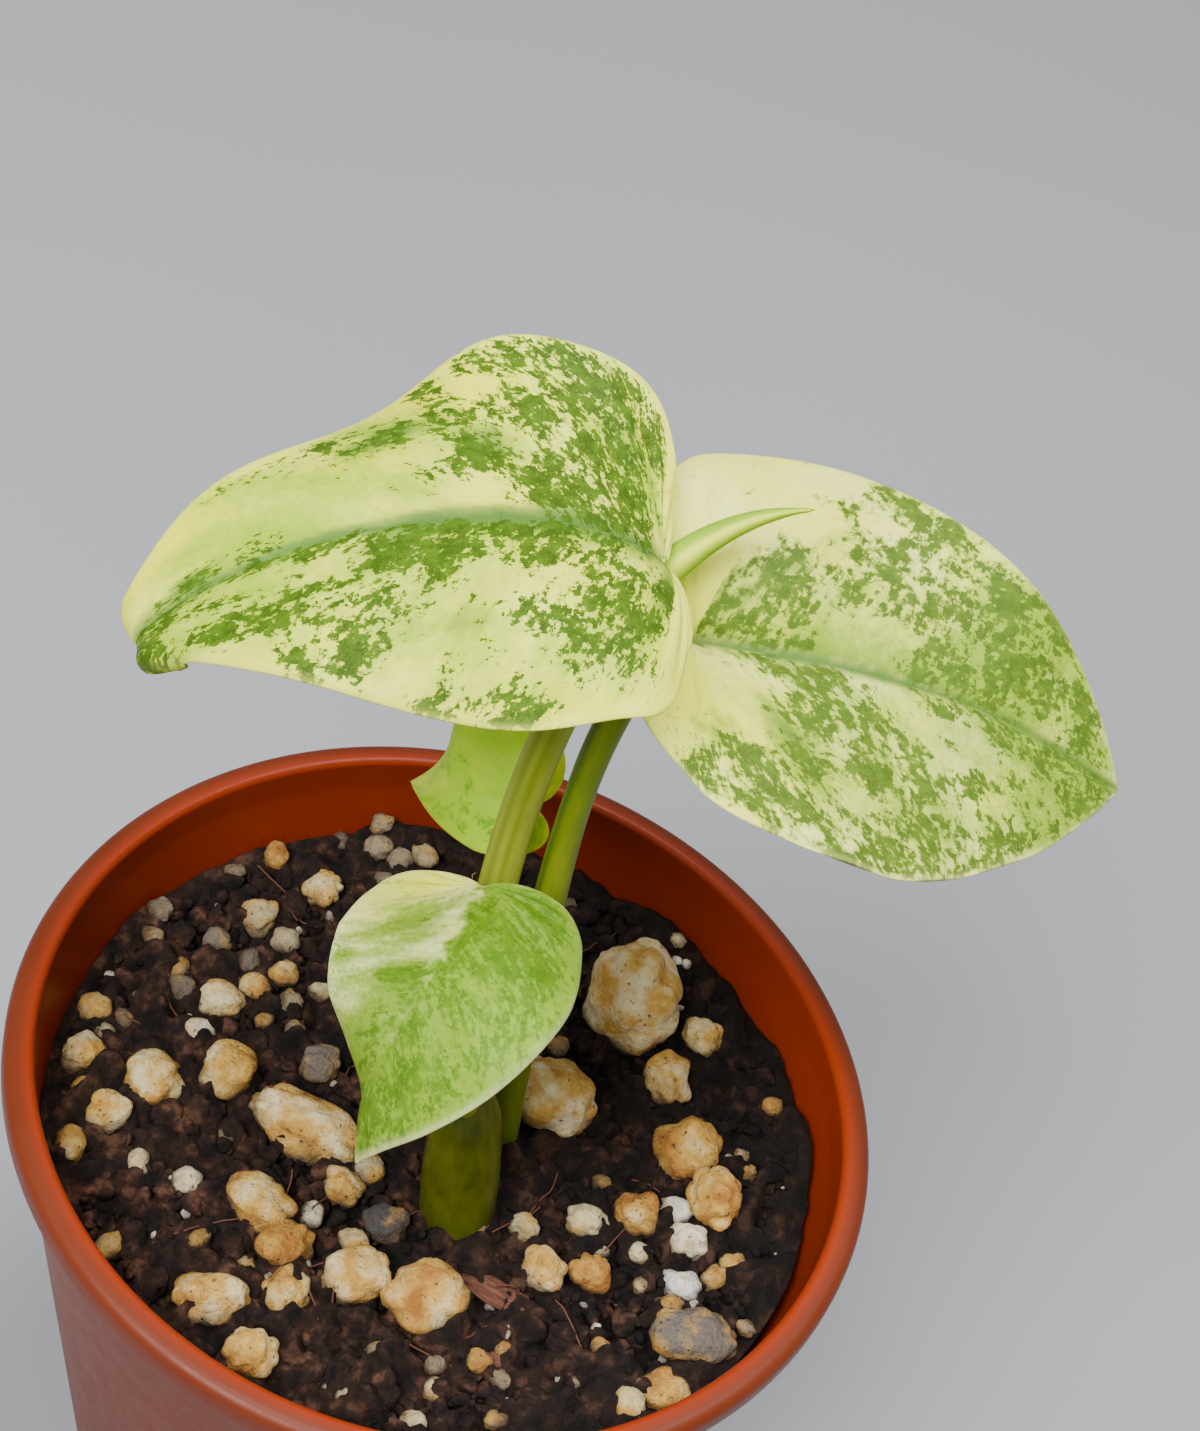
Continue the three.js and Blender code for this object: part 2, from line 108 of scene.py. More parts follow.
def surfaced(made, relief, values):
    """Sets a material's shader. relief is a height, its depth in millimetres and its strength, or None."""
    tree = made.node_tree
    if relief:
        height, depth, strength = relief
        bump = add(tree, "ShaderNodeBump", {"Height": height, "Distance": depth * MM, "Strength": strength})
        values = {**values, "Normal": bump.outputs["Normal"]}
    fill(tree, tree.nodes["Principled BSDF"], values)
    return made


def per_mm(size, unit=1.0):
    """The scale of a pattern whose marks are size millimetres, on coordinates of unit metres."""
    return unit / (size * MM)


FLAT_UNIT = 0.1  # a leaf's flat map counts in tenths of a metre, so a leaf fills about half of it


def leaf_skin(name, look):
    """Living leaf, satin on top: cream tissue with sectors and specks of green that follow the veins."""
    made, tree = material(name)
    flat = add(tree, "ShaderNodeUVMap", uv_map="flat").outputs["UV"]
    veins = add(tree, "ShaderNodeUVMap", uv_map="veins").outputs["UV"]
    # veins fan from the midrib, so a pattern that is fine across them and long along them makes streaks
    streaks = add(tree, "ShaderNodeMapping", {
        "Vector": veins, "Scale": (look["streaks"], 2.6, 1)}).outputs["Vector"]
    flecks = add(tree, "ShaderNodeMapping", {
        "Vector": veins, "Scale": (look["flecks"], look["flecks"] / look["stretch"], 1)}).outputs["Vector"]
    signal = {key: add(tree, "ShaderNodeAttribute", attribute_name=key).outputs["Fac"]
              for key in ("green", "wash", "deep", "gold", "spine", "margin")}
    for key, vector, scale, detail, roughness, twist in (
            ("streak", streaks, 1.0, 3.0, 0.6, 0.0),
            ("fleck", flecks, 1.0, 4.0, 0.68, 0.3),
            ("cluster", flat, per_mm(look["cluster"], FLAT_UNIT), 6.0, 0.72, 0.25),
            ("broad", flat, per_mm(look["gaps"], FLAT_UNIT), 3.0, 0.6, 0.4),
            ("warmth", flat, per_mm(9.0, FLAT_UNIT), 2.0, 0.5, 0.0),
            ("depth", flat, per_mm(1.8, FLAT_UNIT), 4.0, 0.7, 0.0),
            ("grain", flat, per_mm(0.35, FLAT_UNIT), 2.0, 0.6, 0.0)):
        signal[key] = add(tree, "ShaderNodeTexNoise", {
            "Vector": vector, "Scale": scale, "Detail": detail, "Roughness": roughness,
            "Distortion": twist}).outputs["Fac"]
    signal["net"] = add(tree, "ShaderNodeTexVoronoi", {
        "Vector": flat, "Scale": per_mm(look["net"], FLAT_UNIT)},
        feature="DISTANCE_TO_EDGE").outputs["Distance"]
    signal["green"] = add(tree, "ShaderNodeMath", {
        0: signal["green"], 1: look["most"]}, operation="MINIMUM").outputs[0]

    # weighted sums: the more green a place has, the lower the noise may be that still makes it a speck
    for key, total, parts in (
            ("ragged", 0.0, {"cluster": 0.35, "fleck": 0.45, "streak": 0.2}),
            ("reach", -0.5 * look["broken"], {"green": 1.0, "broad": look["broken"]}),
            ("speck", -look["least"], {"ragged": 1.0, "reach": look["spread"]}),
            ("soft", -1.05, {"wash": 1.0, "streak": 1.3, "cluster": 0.8, "green": 0.3}),
            ("dusk", -0.8, {"deep": 1.0, "streak": 1.6}),
            ("spine", 0.0, {"spine": look["spine_share"]}),
            ("margin", 0.0, {"margin": look["margin_share"]}),
            ("shade", 0.9, {"grain": 0.2}),
            ("relief", 0.0, {"grain": 0.3, "streak": 0.9})):
        for part, weight in parts.items():
            total = add(tree, "ShaderNodeMath", {0: signal[part], 1: weight, 2: total},
                        operation="MULTIPLY_ADD").outputs[0]
        signal[key] = total
    # soft steps: a paler halo round each speck, and a net of paler veinlets through it
    for key, source, low, high, least, most in (
            ("halo", "speck", -0.07, 0.01, 0.0, look["halo"]),
            ("speck", "speck", 0.0, look["edge"], 0.0, 1.0),
            ("net", "net", 0.01, 0.09, 1 - look["net_share"], 1.0),
            ("soft", "soft", 0.1, 1.0, 0.0, look["wash_share"]),
            ("dusk", "dusk", 0.15, 1.0, 0.0, look["dusk_share"]),
            ("warmth", "warmth", 0.35, 0.65, 0.0, 1.0),
            ("depth", "depth", 0.38, 0.62, 0.0, 1.0)):
        signal[key] = add(tree, "ShaderNodeMapRange", {
            "Value": signal[source], "From Min": low, "From Max": high, "To Min": least, "To Max": most},
            interpolation_type="SMOOTHSTEP").outputs["Result"]
    signal["speck"] = add(tree, "ShaderNodeMath", {
        0: signal["speck"], 1: signal["net"]}, operation="MULTIPLY").outputs[0]
    signal["soft"] = add(tree, "ShaderNodeMath", {
        0: signal["soft"], 1: signal["halo"]}, operation="MAXIMUM").outputs[0]

    hue = {key: srgb(look[key]) for key in (
        "cream", "pale", "gold", "wash", "dusk", "spine", "margin", "green", "deep")}
    hue["green"] = add(tree, "ShaderNodeMix", {
        "Factor": signal["depth"], "A": hue["green"], "B": hue["deep"]}, data_type="RGBA").outputs["Result"]
    colour = hue["cream"]
    for share, coat in (("warmth", "pale"), ("gold", "gold"), ("soft", "wash"), ("dusk", "dusk"),
                        ("spine", "spine"), ("speck", "green"), ("margin", "margin")):
        colour = add(tree, "ShaderNodeMix", {
            "Factor": signal[share], "A": colour, "B": hue[coat]}, data_type="RGBA").outputs["Result"]
    colour = add(tree, "ShaderNodeVectorMath", {0: colour, 1: signal["shade"]}, operation="MULTIPLY")
    return surfaced(made, (signal["relief"], 0.2, 0.7), {
        "Base Color": colour.outputs["Vector"], "Roughness": look["roughness"], "IOR": 1.4,
        "Specular IOR Level": 0.3, "Subsurface Weight": look["glow"],
        "Subsurface Radius": (0.9, 1.0, 0.3), "Subsurface Scale": 0.7 * MM})


# cluster, gaps and net are sizes in millimetres, streaks and flecks count the marks across a side, and
# the shares say how strongly each coat covers the one below it
LEAF_LOOK = dict(stretch=7.0, spread=0.22, least=0.62, most=0.72, net_share=0.08, wash_share=0.95,
                 dusk_share=0.8, margin_share=0.4, roughness=0.55, glow=0.1)
LEAF_LOOKS = {
    "leaf_left": dict(
        LEAF_LOOK, cream="#f0f542", pale="#f3f660", gold="#f2ec18", wash="#9cc010", green="#4e720a",
        deep="#385606", dusk="#507a2e", spine="#4e7a34", margin="#f0f468", streaks=24.0, flecks=120.0,
        cluster=0.7, gaps=3.0, broken=1.5, edge=0.02, halo=0.5, net=0.35, dusk_share=0.85,
        spine_share=0.85),
    "leaf_right": dict(
        LEAF_LOOK, cream="#f3f65e", pale="#f4f688", gold="#f2f634", wash="#8aae1c", green="#5f7f1c",
        deep="#4d6a18", dusk="#608330", spine="#51762a", margin="#f2f38a", streaks=22.0, flecks=90.0,
        cluster=0.9, gaps=3.6, broken=1.6, edge=0.045, halo=0.6, net=0.4, net_share=0.1, spine_share=0.9,
        margin_share=0.3, roughness=0.58),
    "leaf_front": dict(
        LEAF_LOOK, cream="#f2f588", pale="#f4f6ac", gold="#f2f244", wash="#789e0a", green="#5e860a",
        deep="#4c7406", dusk="#52780c", spine="#5c800a", margin="#f2f4b0", streaks=30.0, flecks=84.0,
        stretch=11.0, cluster=0.6, gaps=3.0, broken=0.9, least=0.615, most=0.95, edge=0.11, halo=0.85,
        net=0.3, net_share=0.12, spine_share=0.3, margin_share=0.5, roughness=0.52),
    "leaf_back": dict(
        LEAF_LOOK, cream="#e6f41c", pale="#ecf43c", gold="#e4f214", wash="#a8dc0c", green="#86c20a",
        deep="#74b008", dusk="#7ab40c", spine="#9cd010", margin="#ecf63a", streaks=12.0, flecks=22.0,
        cluster=2.2, gaps=4.0, broken=0.8, spread=0.24, least=0.625, most=0.85, edge=0.08, halo=0.5,
        net=0.9, wash_share=0.9, dusk_share=0.6, spine_share=0.3, glow=0.12),
}


def stalk_skin(name, light, dark, groove, roughness=0.45):
    """Smooth green stalk: fine lengthwise fibres, lighter along its ridges and darker in its groove."""
    made, tree = material(name)
    around = add(tree, "ShaderNodeUVMap", uv_map="around").outputs["UV"]
    fibres = add(tree, "ShaderNodeMapping", {"Vector": around, "Scale": (26, 14, 1)}).outputs["Vector"]
    fibres = add(tree, "ShaderNodeTexNoise", {
        "Vector": fibres, "Scale": 1.0, "Detail": 4.0, "Roughness": 0.6}).outputs["Fac"]
    bands = add(tree, "ShaderNodeMapping", {"Vector": around, "Scale": (5, 7, 1)}).outputs["Vector"]
    bands = add(tree, "ShaderNodeTexNoise", {"Vector": bands, "Scale": 1.0, "Detail": 2.0}).outputs["Fac"]
    share = add(tree, "ShaderNodeMath", {0: fibres, 1: 0.55, 2: bands}, operation="MULTIPLY_ADD").outputs[0]
    share = add(tree, "ShaderNodeMapRange", {
        "Value": share, "From Min": 0.55, "From Max": 0.95}).outputs["Result"]
    in_groove = add(tree, "ShaderNodeAttribute", attribute_name="groove").outputs["Fac"]
    colour = srgb(dark)
    for factor, coat in ((share, light), (in_groove, groove)):
        colour = add(tree, "ShaderNodeMix", {
            "Factor": factor, "A": colour, "B": srgb(coat)}, data_type="RGBA").outputs["Result"]
    return surfaced(made, (fibres, 0.12, 0.4), {
        "Base Color": colour, "Roughness": roughness, "Specular IOR Level": 0.3, "Subsurface Weight": 0.15,
        "Subsurface Radius": (0.8, 1.0, 0.3), "Subsurface Scale": 1.0 * MM})


def pot_plastic():
    """Injection-moulded polypropylene in terracotta brown: even, with a soft gloss and faint scuffs."""
    made, tree = material("moulded_polypropylene")
    place = add(tree, "ShaderNodeTexCoord").outputs["Object"]
    cloud = add(tree, "ShaderNodeTexNoise", {
        "Vector": place, "Scale": per_mm(22), "Detail": 4.0, "Roughness": 0.6}).outputs["Fac"]
    colour = add(tree, "ShaderNodeValToRGB", {"Fac": cloud}, stops=[
        (0.3, "#66260e"), (0.55, "#6d2b11"), (0.75, "#753115")]).outputs["Color"]
    # splashed peat lies on the wall just above the soil
    height = add(tree, "ShaderNodeSeparateXYZ", {"Vector": place}).outputs["Z"]
    low = add(tree, "ShaderNodeMapRange", {
        "Value": height, "From Min": 0.069, "From Max": 0.0655}).outputs["Result"]
    inside = add(tree, "ShaderNodeAttribute", attribute_name="inside").outputs["Fac"]
    specks = add(tree, "ShaderNodeTexNoise", {
        "Vector": place, "Scale": per_mm(1.6), "Detail": 6.0, "Roughness": 0.7}).outputs["Fac"]
    dirt = add(tree, "ShaderNodeMapRange", {
        "Value": specks, "From Min": 0.58, "From Max": 0.74}).outputs["Result"]
    for where in (low, inside):
        dirt = add(tree, "ShaderNodeMath", {0: dirt, 1: where}, operation="MULTIPLY").outputs[0]
    # daylight comes through the thin wall, which shows as a warmer red on the inside
    for factor, coat in ((inside, "#8e2c08"), (dirt, "#4e2212")):
        colour = add(tree, "ShaderNodeMix", {
            "Factor": factor, "A": colour, "B": srgb(coat)}, data_type="RGBA").outputs["Result"]
    scuffs = add(tree, "ShaderNodeTexNoise", {
        "Vector": place, "Scale": per_mm(3.0), "Detail": 5.0, "Roughness": 0.7}).outputs["Fac"]
    gloss = add(tree, "ShaderNodeMapRange", {
        "Value": scuffs, "From Min": 0.3, "From Max": 0.7, "To Min": 0.36, "To Max": 0.48}).outputs["Result"]
    return surfaced(made, (scuffs, 0.05, 0.25), {
        "Base Color": colour, "Roughness": gloss, "IOR": 1.49, "Specular IOR Level": 0.26})


def peat(name, dark, brown, red, share):
    """Moist peat and rotted bark: nearly black crumbs, with brown and reddish ones among them.

    share is how high the mix of lumps and fine crumbs goes before its darkest colour ends.
    """
    made, tree = material(name)
    place = add(tree, "ShaderNodeTexCoord").outputs["Object"]
    lumps = add(tree, "ShaderNodeTexNoise", {
        "Vector": place, "Scale": per_mm(2.6), "Detail": 2.0, "Roughness": 0.5}).outputs["Fac"]
    lumps = add(tree, "ShaderNodeMapRange", {
        "Value": lumps, "From Min": 0.32, "From Max": 0.72}).outputs["Result"]
    fine = add(tree, "ShaderNodeTexNoise", {
        "Vector": place, "Scale": per_mm(1.1), "Detail": 6.0, "Roughness": 0.75}).outputs["Fac"]
    blend = add(tree, "ShaderNodeMath", {0: fine, 1: 1.6, 2: lumps}, operation="MULTIPLY_ADD").outputs[0]
    blend = add(tree, "ShaderNodeMath", {0: blend, 1: 0.5}, operation="MULTIPLY").outputs[0]
    colour = add(tree, "ShaderNodeValToRGB", {"Fac": blend}, stops=[
        (share, dark), (share + 0.28, brown), (share + 0.45, red)]).outputs["Color"]
    # painted light and shade: the mix is made paler towards the front left, where more light falls, and
    # darker at the right
    painted_side_light = add(tree, "ShaderNodeVectorMath", {0: place, 1: (-0.85, -0.5, 0)}, operation="DOT_PRODUCT")
    painted_side_light = add(tree, "ShaderNodeMapRange", {
        "Value": painted_side_light.outputs["Value"], "From Min": -0.035, "From Max": 0.035, "To Min": 0.5,
        "To Max": 1.7}).outputs["Result"]
    colour = add(tree, "ShaderNodeVectorMath", {0: colour, "Scale": painted_side_light}, operation="SCALE")
    return surfaced(made, (fine, 0.9, 1.0), {
        "Base Color": colour.outputs["Vector"], "Roughness": 0.72, "Specular IOR Level": 0.3})


def pumice():
    """Porous volcanic stone: cream to white, stained ochre in patches, with small dark pores."""
    made, tree = material("weathered_pumice")
    place = add(tree, "ShaderNodeTexCoord").outputs["Object"]
    tone, stain, foot = (add(tree, "ShaderNodeAttribute", attribute_name=key).outputs["Fac"]
                         for key in ("tone", "stain", "foot"))
    # the grey-brown low tones are partly the grains' own grey, partly painted shade, kept dim for grains that
    # lie in shade
    colour = add(tree, "ShaderNodeValToRGB", {"Fac": tone}, stops=[
        (0.0, "#38383c"), (0.2, "#6e6458"), (0.35, "#9c8e72"), (0.5, "#dfcd98"), (0.65, "#eedcaa"),
        (1.0, "#f0ece0")]).outputs["Color"]
    patches = add(tree, "ShaderNodeTexNoise", {
        "Vector": place, "Scale": per_mm(3.8), "Detail": 5.0, "Roughness": 0.62}).outputs["Fac"]
    patches = add(tree, "ShaderNodeMath", {0: stain, 1: 0.34, 2: patches},
                  operation="MULTIPLY_ADD").outputs[0]
    grit = add(tree, "ShaderNodeTexNoise", {
        "Vector": place, "Scale": per_mm(0.7), "Detail": 4.0, "Roughness": 0.7}).outputs["Fac"]
    pores = add(tree, "ShaderNodeTexVoronoi", {"Vector": place, "Scale": per_mm(0.75)}).outputs["Distance"]
    # the foot of a stone is darker brown: partly peat staining it, partly painted contact shade where it
    # meets the soil
    foot = add(tree, "ShaderNodeMath", {0: foot, 1: 1.1, 2: grit}, operation="MULTIPLY_ADD").outputs[0]
    yellow, rusty, pores, gritty, stain_and_contact_shade = (
        add(tree, "ShaderNodeMapRange", {
            "Value": value, "From Min": low, "From Max": high, "To Max": most}).outputs["Result"]
        for value, low, high, most in (
            (patches, 0.55, 0.72, 0.92), (patches, 0.72, 0.9, 0.85), (pores, 0.28, 0.1, 1.0),
            (grit, 0.5, 0.62, 0.75), (foot, 0.62, 1.4, 0.92)))
    pores = add(tree, "ShaderNodeMath", {0: pores, 1: gritty}, operation="MULTIPLY").outputs[0]
    for factor, coat in ((yellow, "#cf9d38"), (rusty, "#9a5a14"), (pores, "#7d5a34"), (stain_and_contact_shade, "#4a3420")):
        colour = add(tree, "ShaderNodeMix", {
            "Factor": factor, "A": colour, "B": srgb(coat)}, data_type="RGBA").outputs["Result"]
    height = add(tree, "ShaderNodeMath", {0: pores, 1: -1.0, 2: grit}, operation="MULTIPLY_ADD").outputs[0]
    return surfaced(made, (height, 0.6, 1.0), {
        "Base Color": colour, "Roughness": 0.8, "Subsurface Weight": 0.1, "Subsurface Scale": 0.6 * MM})


def mottled(name, pattern, stops, roughness, relief=(), own=None, grain=None):
    """A matt material whose noise gives its colours and its relief.

    relief is its depth in millimetres and its strength. own is the relief's own noise, where it has one,
    and grain stretches the noise along a piece that has a grain.
    """
    made, tree = material(name)
    if grain:
        place = add(tree, "ShaderNodeUVMap", uv_map="grain").outputs["UV"]
        place = add(tree, "ShaderNodeMapping", {"Vector": place, "Scale": grain}).outputs["Vector"]
    else:
        place = add(tree, "ShaderNodeTexCoord").outputs["Object"]
    tones = add(tree, "ShaderNodeTexNoise", {"Vector": place, **pattern}).outputs["Fac"]
    height = add(tree, "ShaderNodeTexNoise", {"Vector": place, **own}).outputs["Fac"] if own else tones
    colour = add(tree, "ShaderNodeValToRGB", {"Fac": tones}, stops=stops).outputs["Color"]
    return surfaced(made, relief and (height, *relief), {"Base Color": colour, "Roughness": roughness})


# Meshes from numbers

def spline(points, t):
    """A smooth line through the points, each t from 0 at the first to 1 at the last."""
    points = np.asarray(points, float)
    last = len(points) - 1
    place = np.clip(np.asarray(t, float), 0, 1) * last
    first = np.minimum(place.astype(int), last)
    share = (place - first)[..., None]
    before, start = points[np.maximum(first - 1, 0)], points[first]
    end, after = points[np.minimum(first + 1, last)], points[np.minimum(first + 2, last)]
    out, into = (end - before) / 2, (after - start) / 2
    cubic = 2 * start - 2 * end + out + into
    square = 3 * end - 3 * start - 2 * out - into
    return ((cubic * share + square) * share + out) * share + start


def keyed(keys, t):
    """A number that runs smoothly through the keys."""
    return spline([[key] for key in keys], t)[..., 0]


def unit(vectors):
    """The vectors at length 1."""
    return vectors / np.maximum(np.linalg.norm(vectors, axis=-1, keepdims=True), 1e-12)


def bezier(ends, t):
    """Places on the curve that the four ends draw."""
    ends, t = np.asarray(ends, float), np.asarray(t, float)[..., None]
    r = 1 - t
    return r ** 3 * ends[0] + 3 * r * r * t * ends[1] + 3 * r * t * t * ends[2] + t ** 3 * ends[3]


def bezier_way(ends, t):
    """The way that the curve runs there."""
    ends, t = np.asarray(ends, float), np.asarray(t, float)[..., None]
    r = 1 - t
    steps = np.diff(ends, axis=0)
    return unit(r * r * steps[0] + 2 * r * t * steps[1] + t * t * steps[2])


def turned(vectors, axis, angle):
    """The vectors turned about an axis."""
    angle = np.asarray(angle)[..., None]
    along = np.sum(axis * vectors, axis=-1, keepdims=True)
    return (vectors * np.cos(angle) + np.cross(axis, vectors) * np.sin(angle)
            + axis * along * (1 - np.cos(angle)))


def spun(points, degrees):
    """The points turned about the upright."""
    c, s = math.cos(math.radians(degrees)), math.sin(math.radians(degrees))
    return points @ np.array([[c, s, 0], [-s, c, 0], [0, 0, 1]])


def waves(points, size, seed, count=18):
    """A smooth random field, about -1 to 1, whose swells are size across."""
    rng = np.random.default_rng(seed)
    ways = unit(rng.normal(size=(count, 3))) * rng.uniform(0.6, 1.5, (count, 1)) * TAU / (2 * size)
    total = np.sin(points @ ways.T + rng.uniform(0, TAU, count)).sum(axis=-1)
    return total / math.sqrt(count / 2) / 1.6


def drilled(piece, holes):
    """The piece's mesh with the holes' mesh cut out of it."""
    cutter = bpy.data.objects.new("cutter", holes)
    bpy.context.scene.collection.objects.link(cutter)
    cut = piece.modifiers.new("cut", "BOOLEAN")
    cut.operation, cut.solver, cut.object = "DIFFERENCE", "EXACT", cutter
    bpy.context.view_layer.update()
    ready = piece.evaluated_get(bpy.context.evaluated_depsgraph_get())
    mesh = bpy.data.meshes.new_from_object(ready)
    piece.modifiers.clear()
    bpy.data.objects.remove(cutter)
    mesh.set_sharp_from_angle(angle=math.radians(60))
    return mesh


def finished(name, verts, faces, skin, replaced=(), fields=None, maps=None, weld=0.0, holes=None):
    """A mesh in millimetres made a smooth piece in metres that rides on the part."""
    mesh = bpy.data.meshes.new(name)
    mesh.from_pydata((np.asarray(verts, float) * MM).tolist(), [], [list(map(int, f)) for f in faces])
    for key, values in (fields or {}).items():
        mesh.attributes.new(key, "FLOAT", "POINT").data.foreach_set(
            "value", np.asarray(values, np.float32).ravel())
    corner = np.empty(len(mesh.loops), np.int32)
    mesh.loops.foreach_get("vertex_index", corner)
    for key, values in (maps or {}).items():
        layer = mesh.uv_layers.new(name=key)
        layer.data.foreach_set("uv", np.asarray(values, np.float32)[corner].ravel())
    if weld:
        shape = bmesh.new()
        shape.from_mesh(mesh)
        bmesh.ops.remove_doubles(shape, verts=shape.verts, dist=weld * MM)
        bmesh.ops.dissolve_degenerate(shape, edges=shape.edges, dist=weld * MM)
        bmesh.ops.recalc_face_normals(shape, faces=shape.faces)
        shape.to_mesh(mesh)
        shape.free()
    mesh.polygons.foreach_set("use_smooth", [True] * len(mesh.polygons))
    mesh.materials.append(skin)
    piece = bpy.data.objects.new(name, mesh)
    bpy.context.scene.collection.objects.link(piece)
    if holes:
        piece.data = drilled(piece, holes)
        piece.data.name = name
    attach(piece, "root")
    if replaced:
        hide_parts(*replaced)


def grid_faces(rows, columns, start=0, around=False, flip=False):
    """Quads of a grid of points that has rows lines of columns points."""
    faces = []
    for row in range(rows - 1):
        for column in range(columns if around else columns - 1):
            after = (column + 1) % columns
            a, b = start + row * columns + column, start + row * columns + after
            c, d = a + columns, b + columns
            faces.append((a, c, d, b) if flip else (a, b, d, c))
    return faces


def tube_faces(rings, sides):
    """Faces of a tube of rings + 1 lines of points, closed by one more point at each end."""
    faces = grid_faces(rings + 1, sides, around=True)
    first, last = (rings + 1) * sides, rings * sides
    for i in range(sides):
        j = (i + 1) % sides
        faces += [(first, j, i), (first + 1, last + i, last + j)]
    return faces


# Leaves: the same flat outlines, midribs and bends as the solids have, made finer

SIDES = {1: "left", -1: "right"}
FAN, SWEEP, BOW_ALONG, BOW_ACROSS = 0.5, 1.2, 0.45, 0.62  # how the veins fan from the midrib and bow
LEAF_THICKNESS = 0.5
SWELLS, SWELL_HEIGHT, RUFFLES = 9, 0.16, 10  # of the blade between its veins, and of a waved margin
GROOVE_DEPTH, GROOVE_WIDTH, KEEL_WIDTH = 0.34, 0.55, 0.85  # of the midrib, above and below the blade
EDGE_ROUND, PALE_EDGE = 0.12, 0.45  # how far the rounded margin stands out, and how wide it is paler
CURL_FADE = 0.3  # the share of a curl's length over which it fades in or out

# face is the way that the upper side looks at the base, and twist how far it turns at the base and the tip.
# roll is the radius and the angle of a tip that is rolled under. lift and cup are how steeply each side
# leaves the midrib and how much it bends, in degrees from base to tip. outline is along and across as
# shares of the length. A curl has its side, its ends on the margin, its angle and its radius.
LEAVES = {
    "leaf_left": dict(
        midrib=[(3.5, 11.6, 138.2), (-2.6, 10.7, 144.3), (-25.3, 1.8, 143.1), (-37.8, -4.1, 125.3)],
        face=(0, 0, 1), twist=(17, 0.6), roll=(1.8, 200),
        lift=dict(left=(8.7, 2.3, 3.6, 5.6), right=(9.3, 9, 20.1, 19.9)),
        cup=dict(left=(-19.8, -12.1, -22, -11.7), right=(12, 3, -26, 18.5)),
        outline=[(0, 0), (-0.025, 0.066), (-0.025, 0.17), (0.008, 0.285), (0.077, 0.38), (0.204, 0.421),
                 (0.373, 0.437), (0.548, 0.354), (0.73, 0.216), (0.874, 0.088), (1, 0)],
        curls=[(1, 0.0, 0.36, 150, 1.1), (1, 0.86, 1.0, 190, 1.2)], wave=0, narrow=1, size=(110, 36)),
    "leaf_right": dict(
        midrib=[(8.2, 16.4, 126.5), (31.3, 22, 127.5), (41.1, 26.6, 121.8), (55.1, 31.1, 113.1)],
        face=(0.08, -0.44, 0.89), twist=(-3, -4), roll=(0, 0),
        lift=dict(left=(42, 10, 11, 8), right=(40, 19, 14, 6)),
        cup=dict(left=(-40, -15, -9, -12), right=(-10, -5, -7, -3)),
        outline=[(0, 0), (-0.08, 0.11), (-0.1, 0.25), (-0.035, 0.37), (0.04, 0.445), (0.17, 0.455),
                 (0.36, 0.42), (0.55, 0.34), (0.75, 0.23), (0.905, 0.105), (1, 0)],
        curls=[], wave=0.35, narrow=1, size=(96, 32)),
    "leaf_front": dict(
        midrib=[(-2.6, -9, 113.1), (-3.8, -22.8, 113.2), (-7.6, -24.6, 106.6), (-5.4, -28.4, 94.5)],
        face=(-0.42, -0.62, 0.66), twist=(-1, 23), roll=(0, 0),
        lift=dict(left=(-18, 1, -3, 2), right=(-9, -7, -4, -50)),
        cup=dict(left=(-43, -20, -18, -14), right=(10, -4, -3, -8)),
        outline=[(0, 0), (-0.045, 0.07), (-0.075, 0.18), (-0.065, 0.29), (0.01, 0.37), (0.165, 0.405),
                 (0.36, 0.405), (0.56, 0.345), (0.76, 0.235), (0.91, 0.1), (1, 0)],
        curls=[(1, 0.25, 0.75, 60, 0.8)], wave=0.1, narrow=1, size=(72, 26)),
    "leaf_back": dict(
        midrib=[(-0.7, 7.5, 107.9), (-9, 6.5, 108), (-9.6, 8.6, 103.3), (-13.1, 14.5, 98.5)],
        face=(-0.19, -0.67, 0.72), twist=(-3, -3), roll=(0, 0),
        lift=dict(left=(-13, -16, -22, -32), right=(5, 12, -7, -11)),
        cup=dict(left=(-6, -10, -4, -12), right=(-7, -4, -6, -13)),
        outline=[(0, 0), (-0.08, 0.07), (-0.115, 0.18), (-0.085, 0.3), (0.02, 0.395), (0.18, 0.435),
                 (0.37, 0.41), (0.56, 0.33), (0.755, 0.205), (0.905, 0.085), (1, 0)],
        curls=[], wave=0, narrow=0.68, size=(60, 22)),
}

# Where a leaf's green lies. Each dab has its place along the margin, the vein's share from the midrib to
# the margin, its reach in both, and its strength. Left and right are seen looking from base to tip.

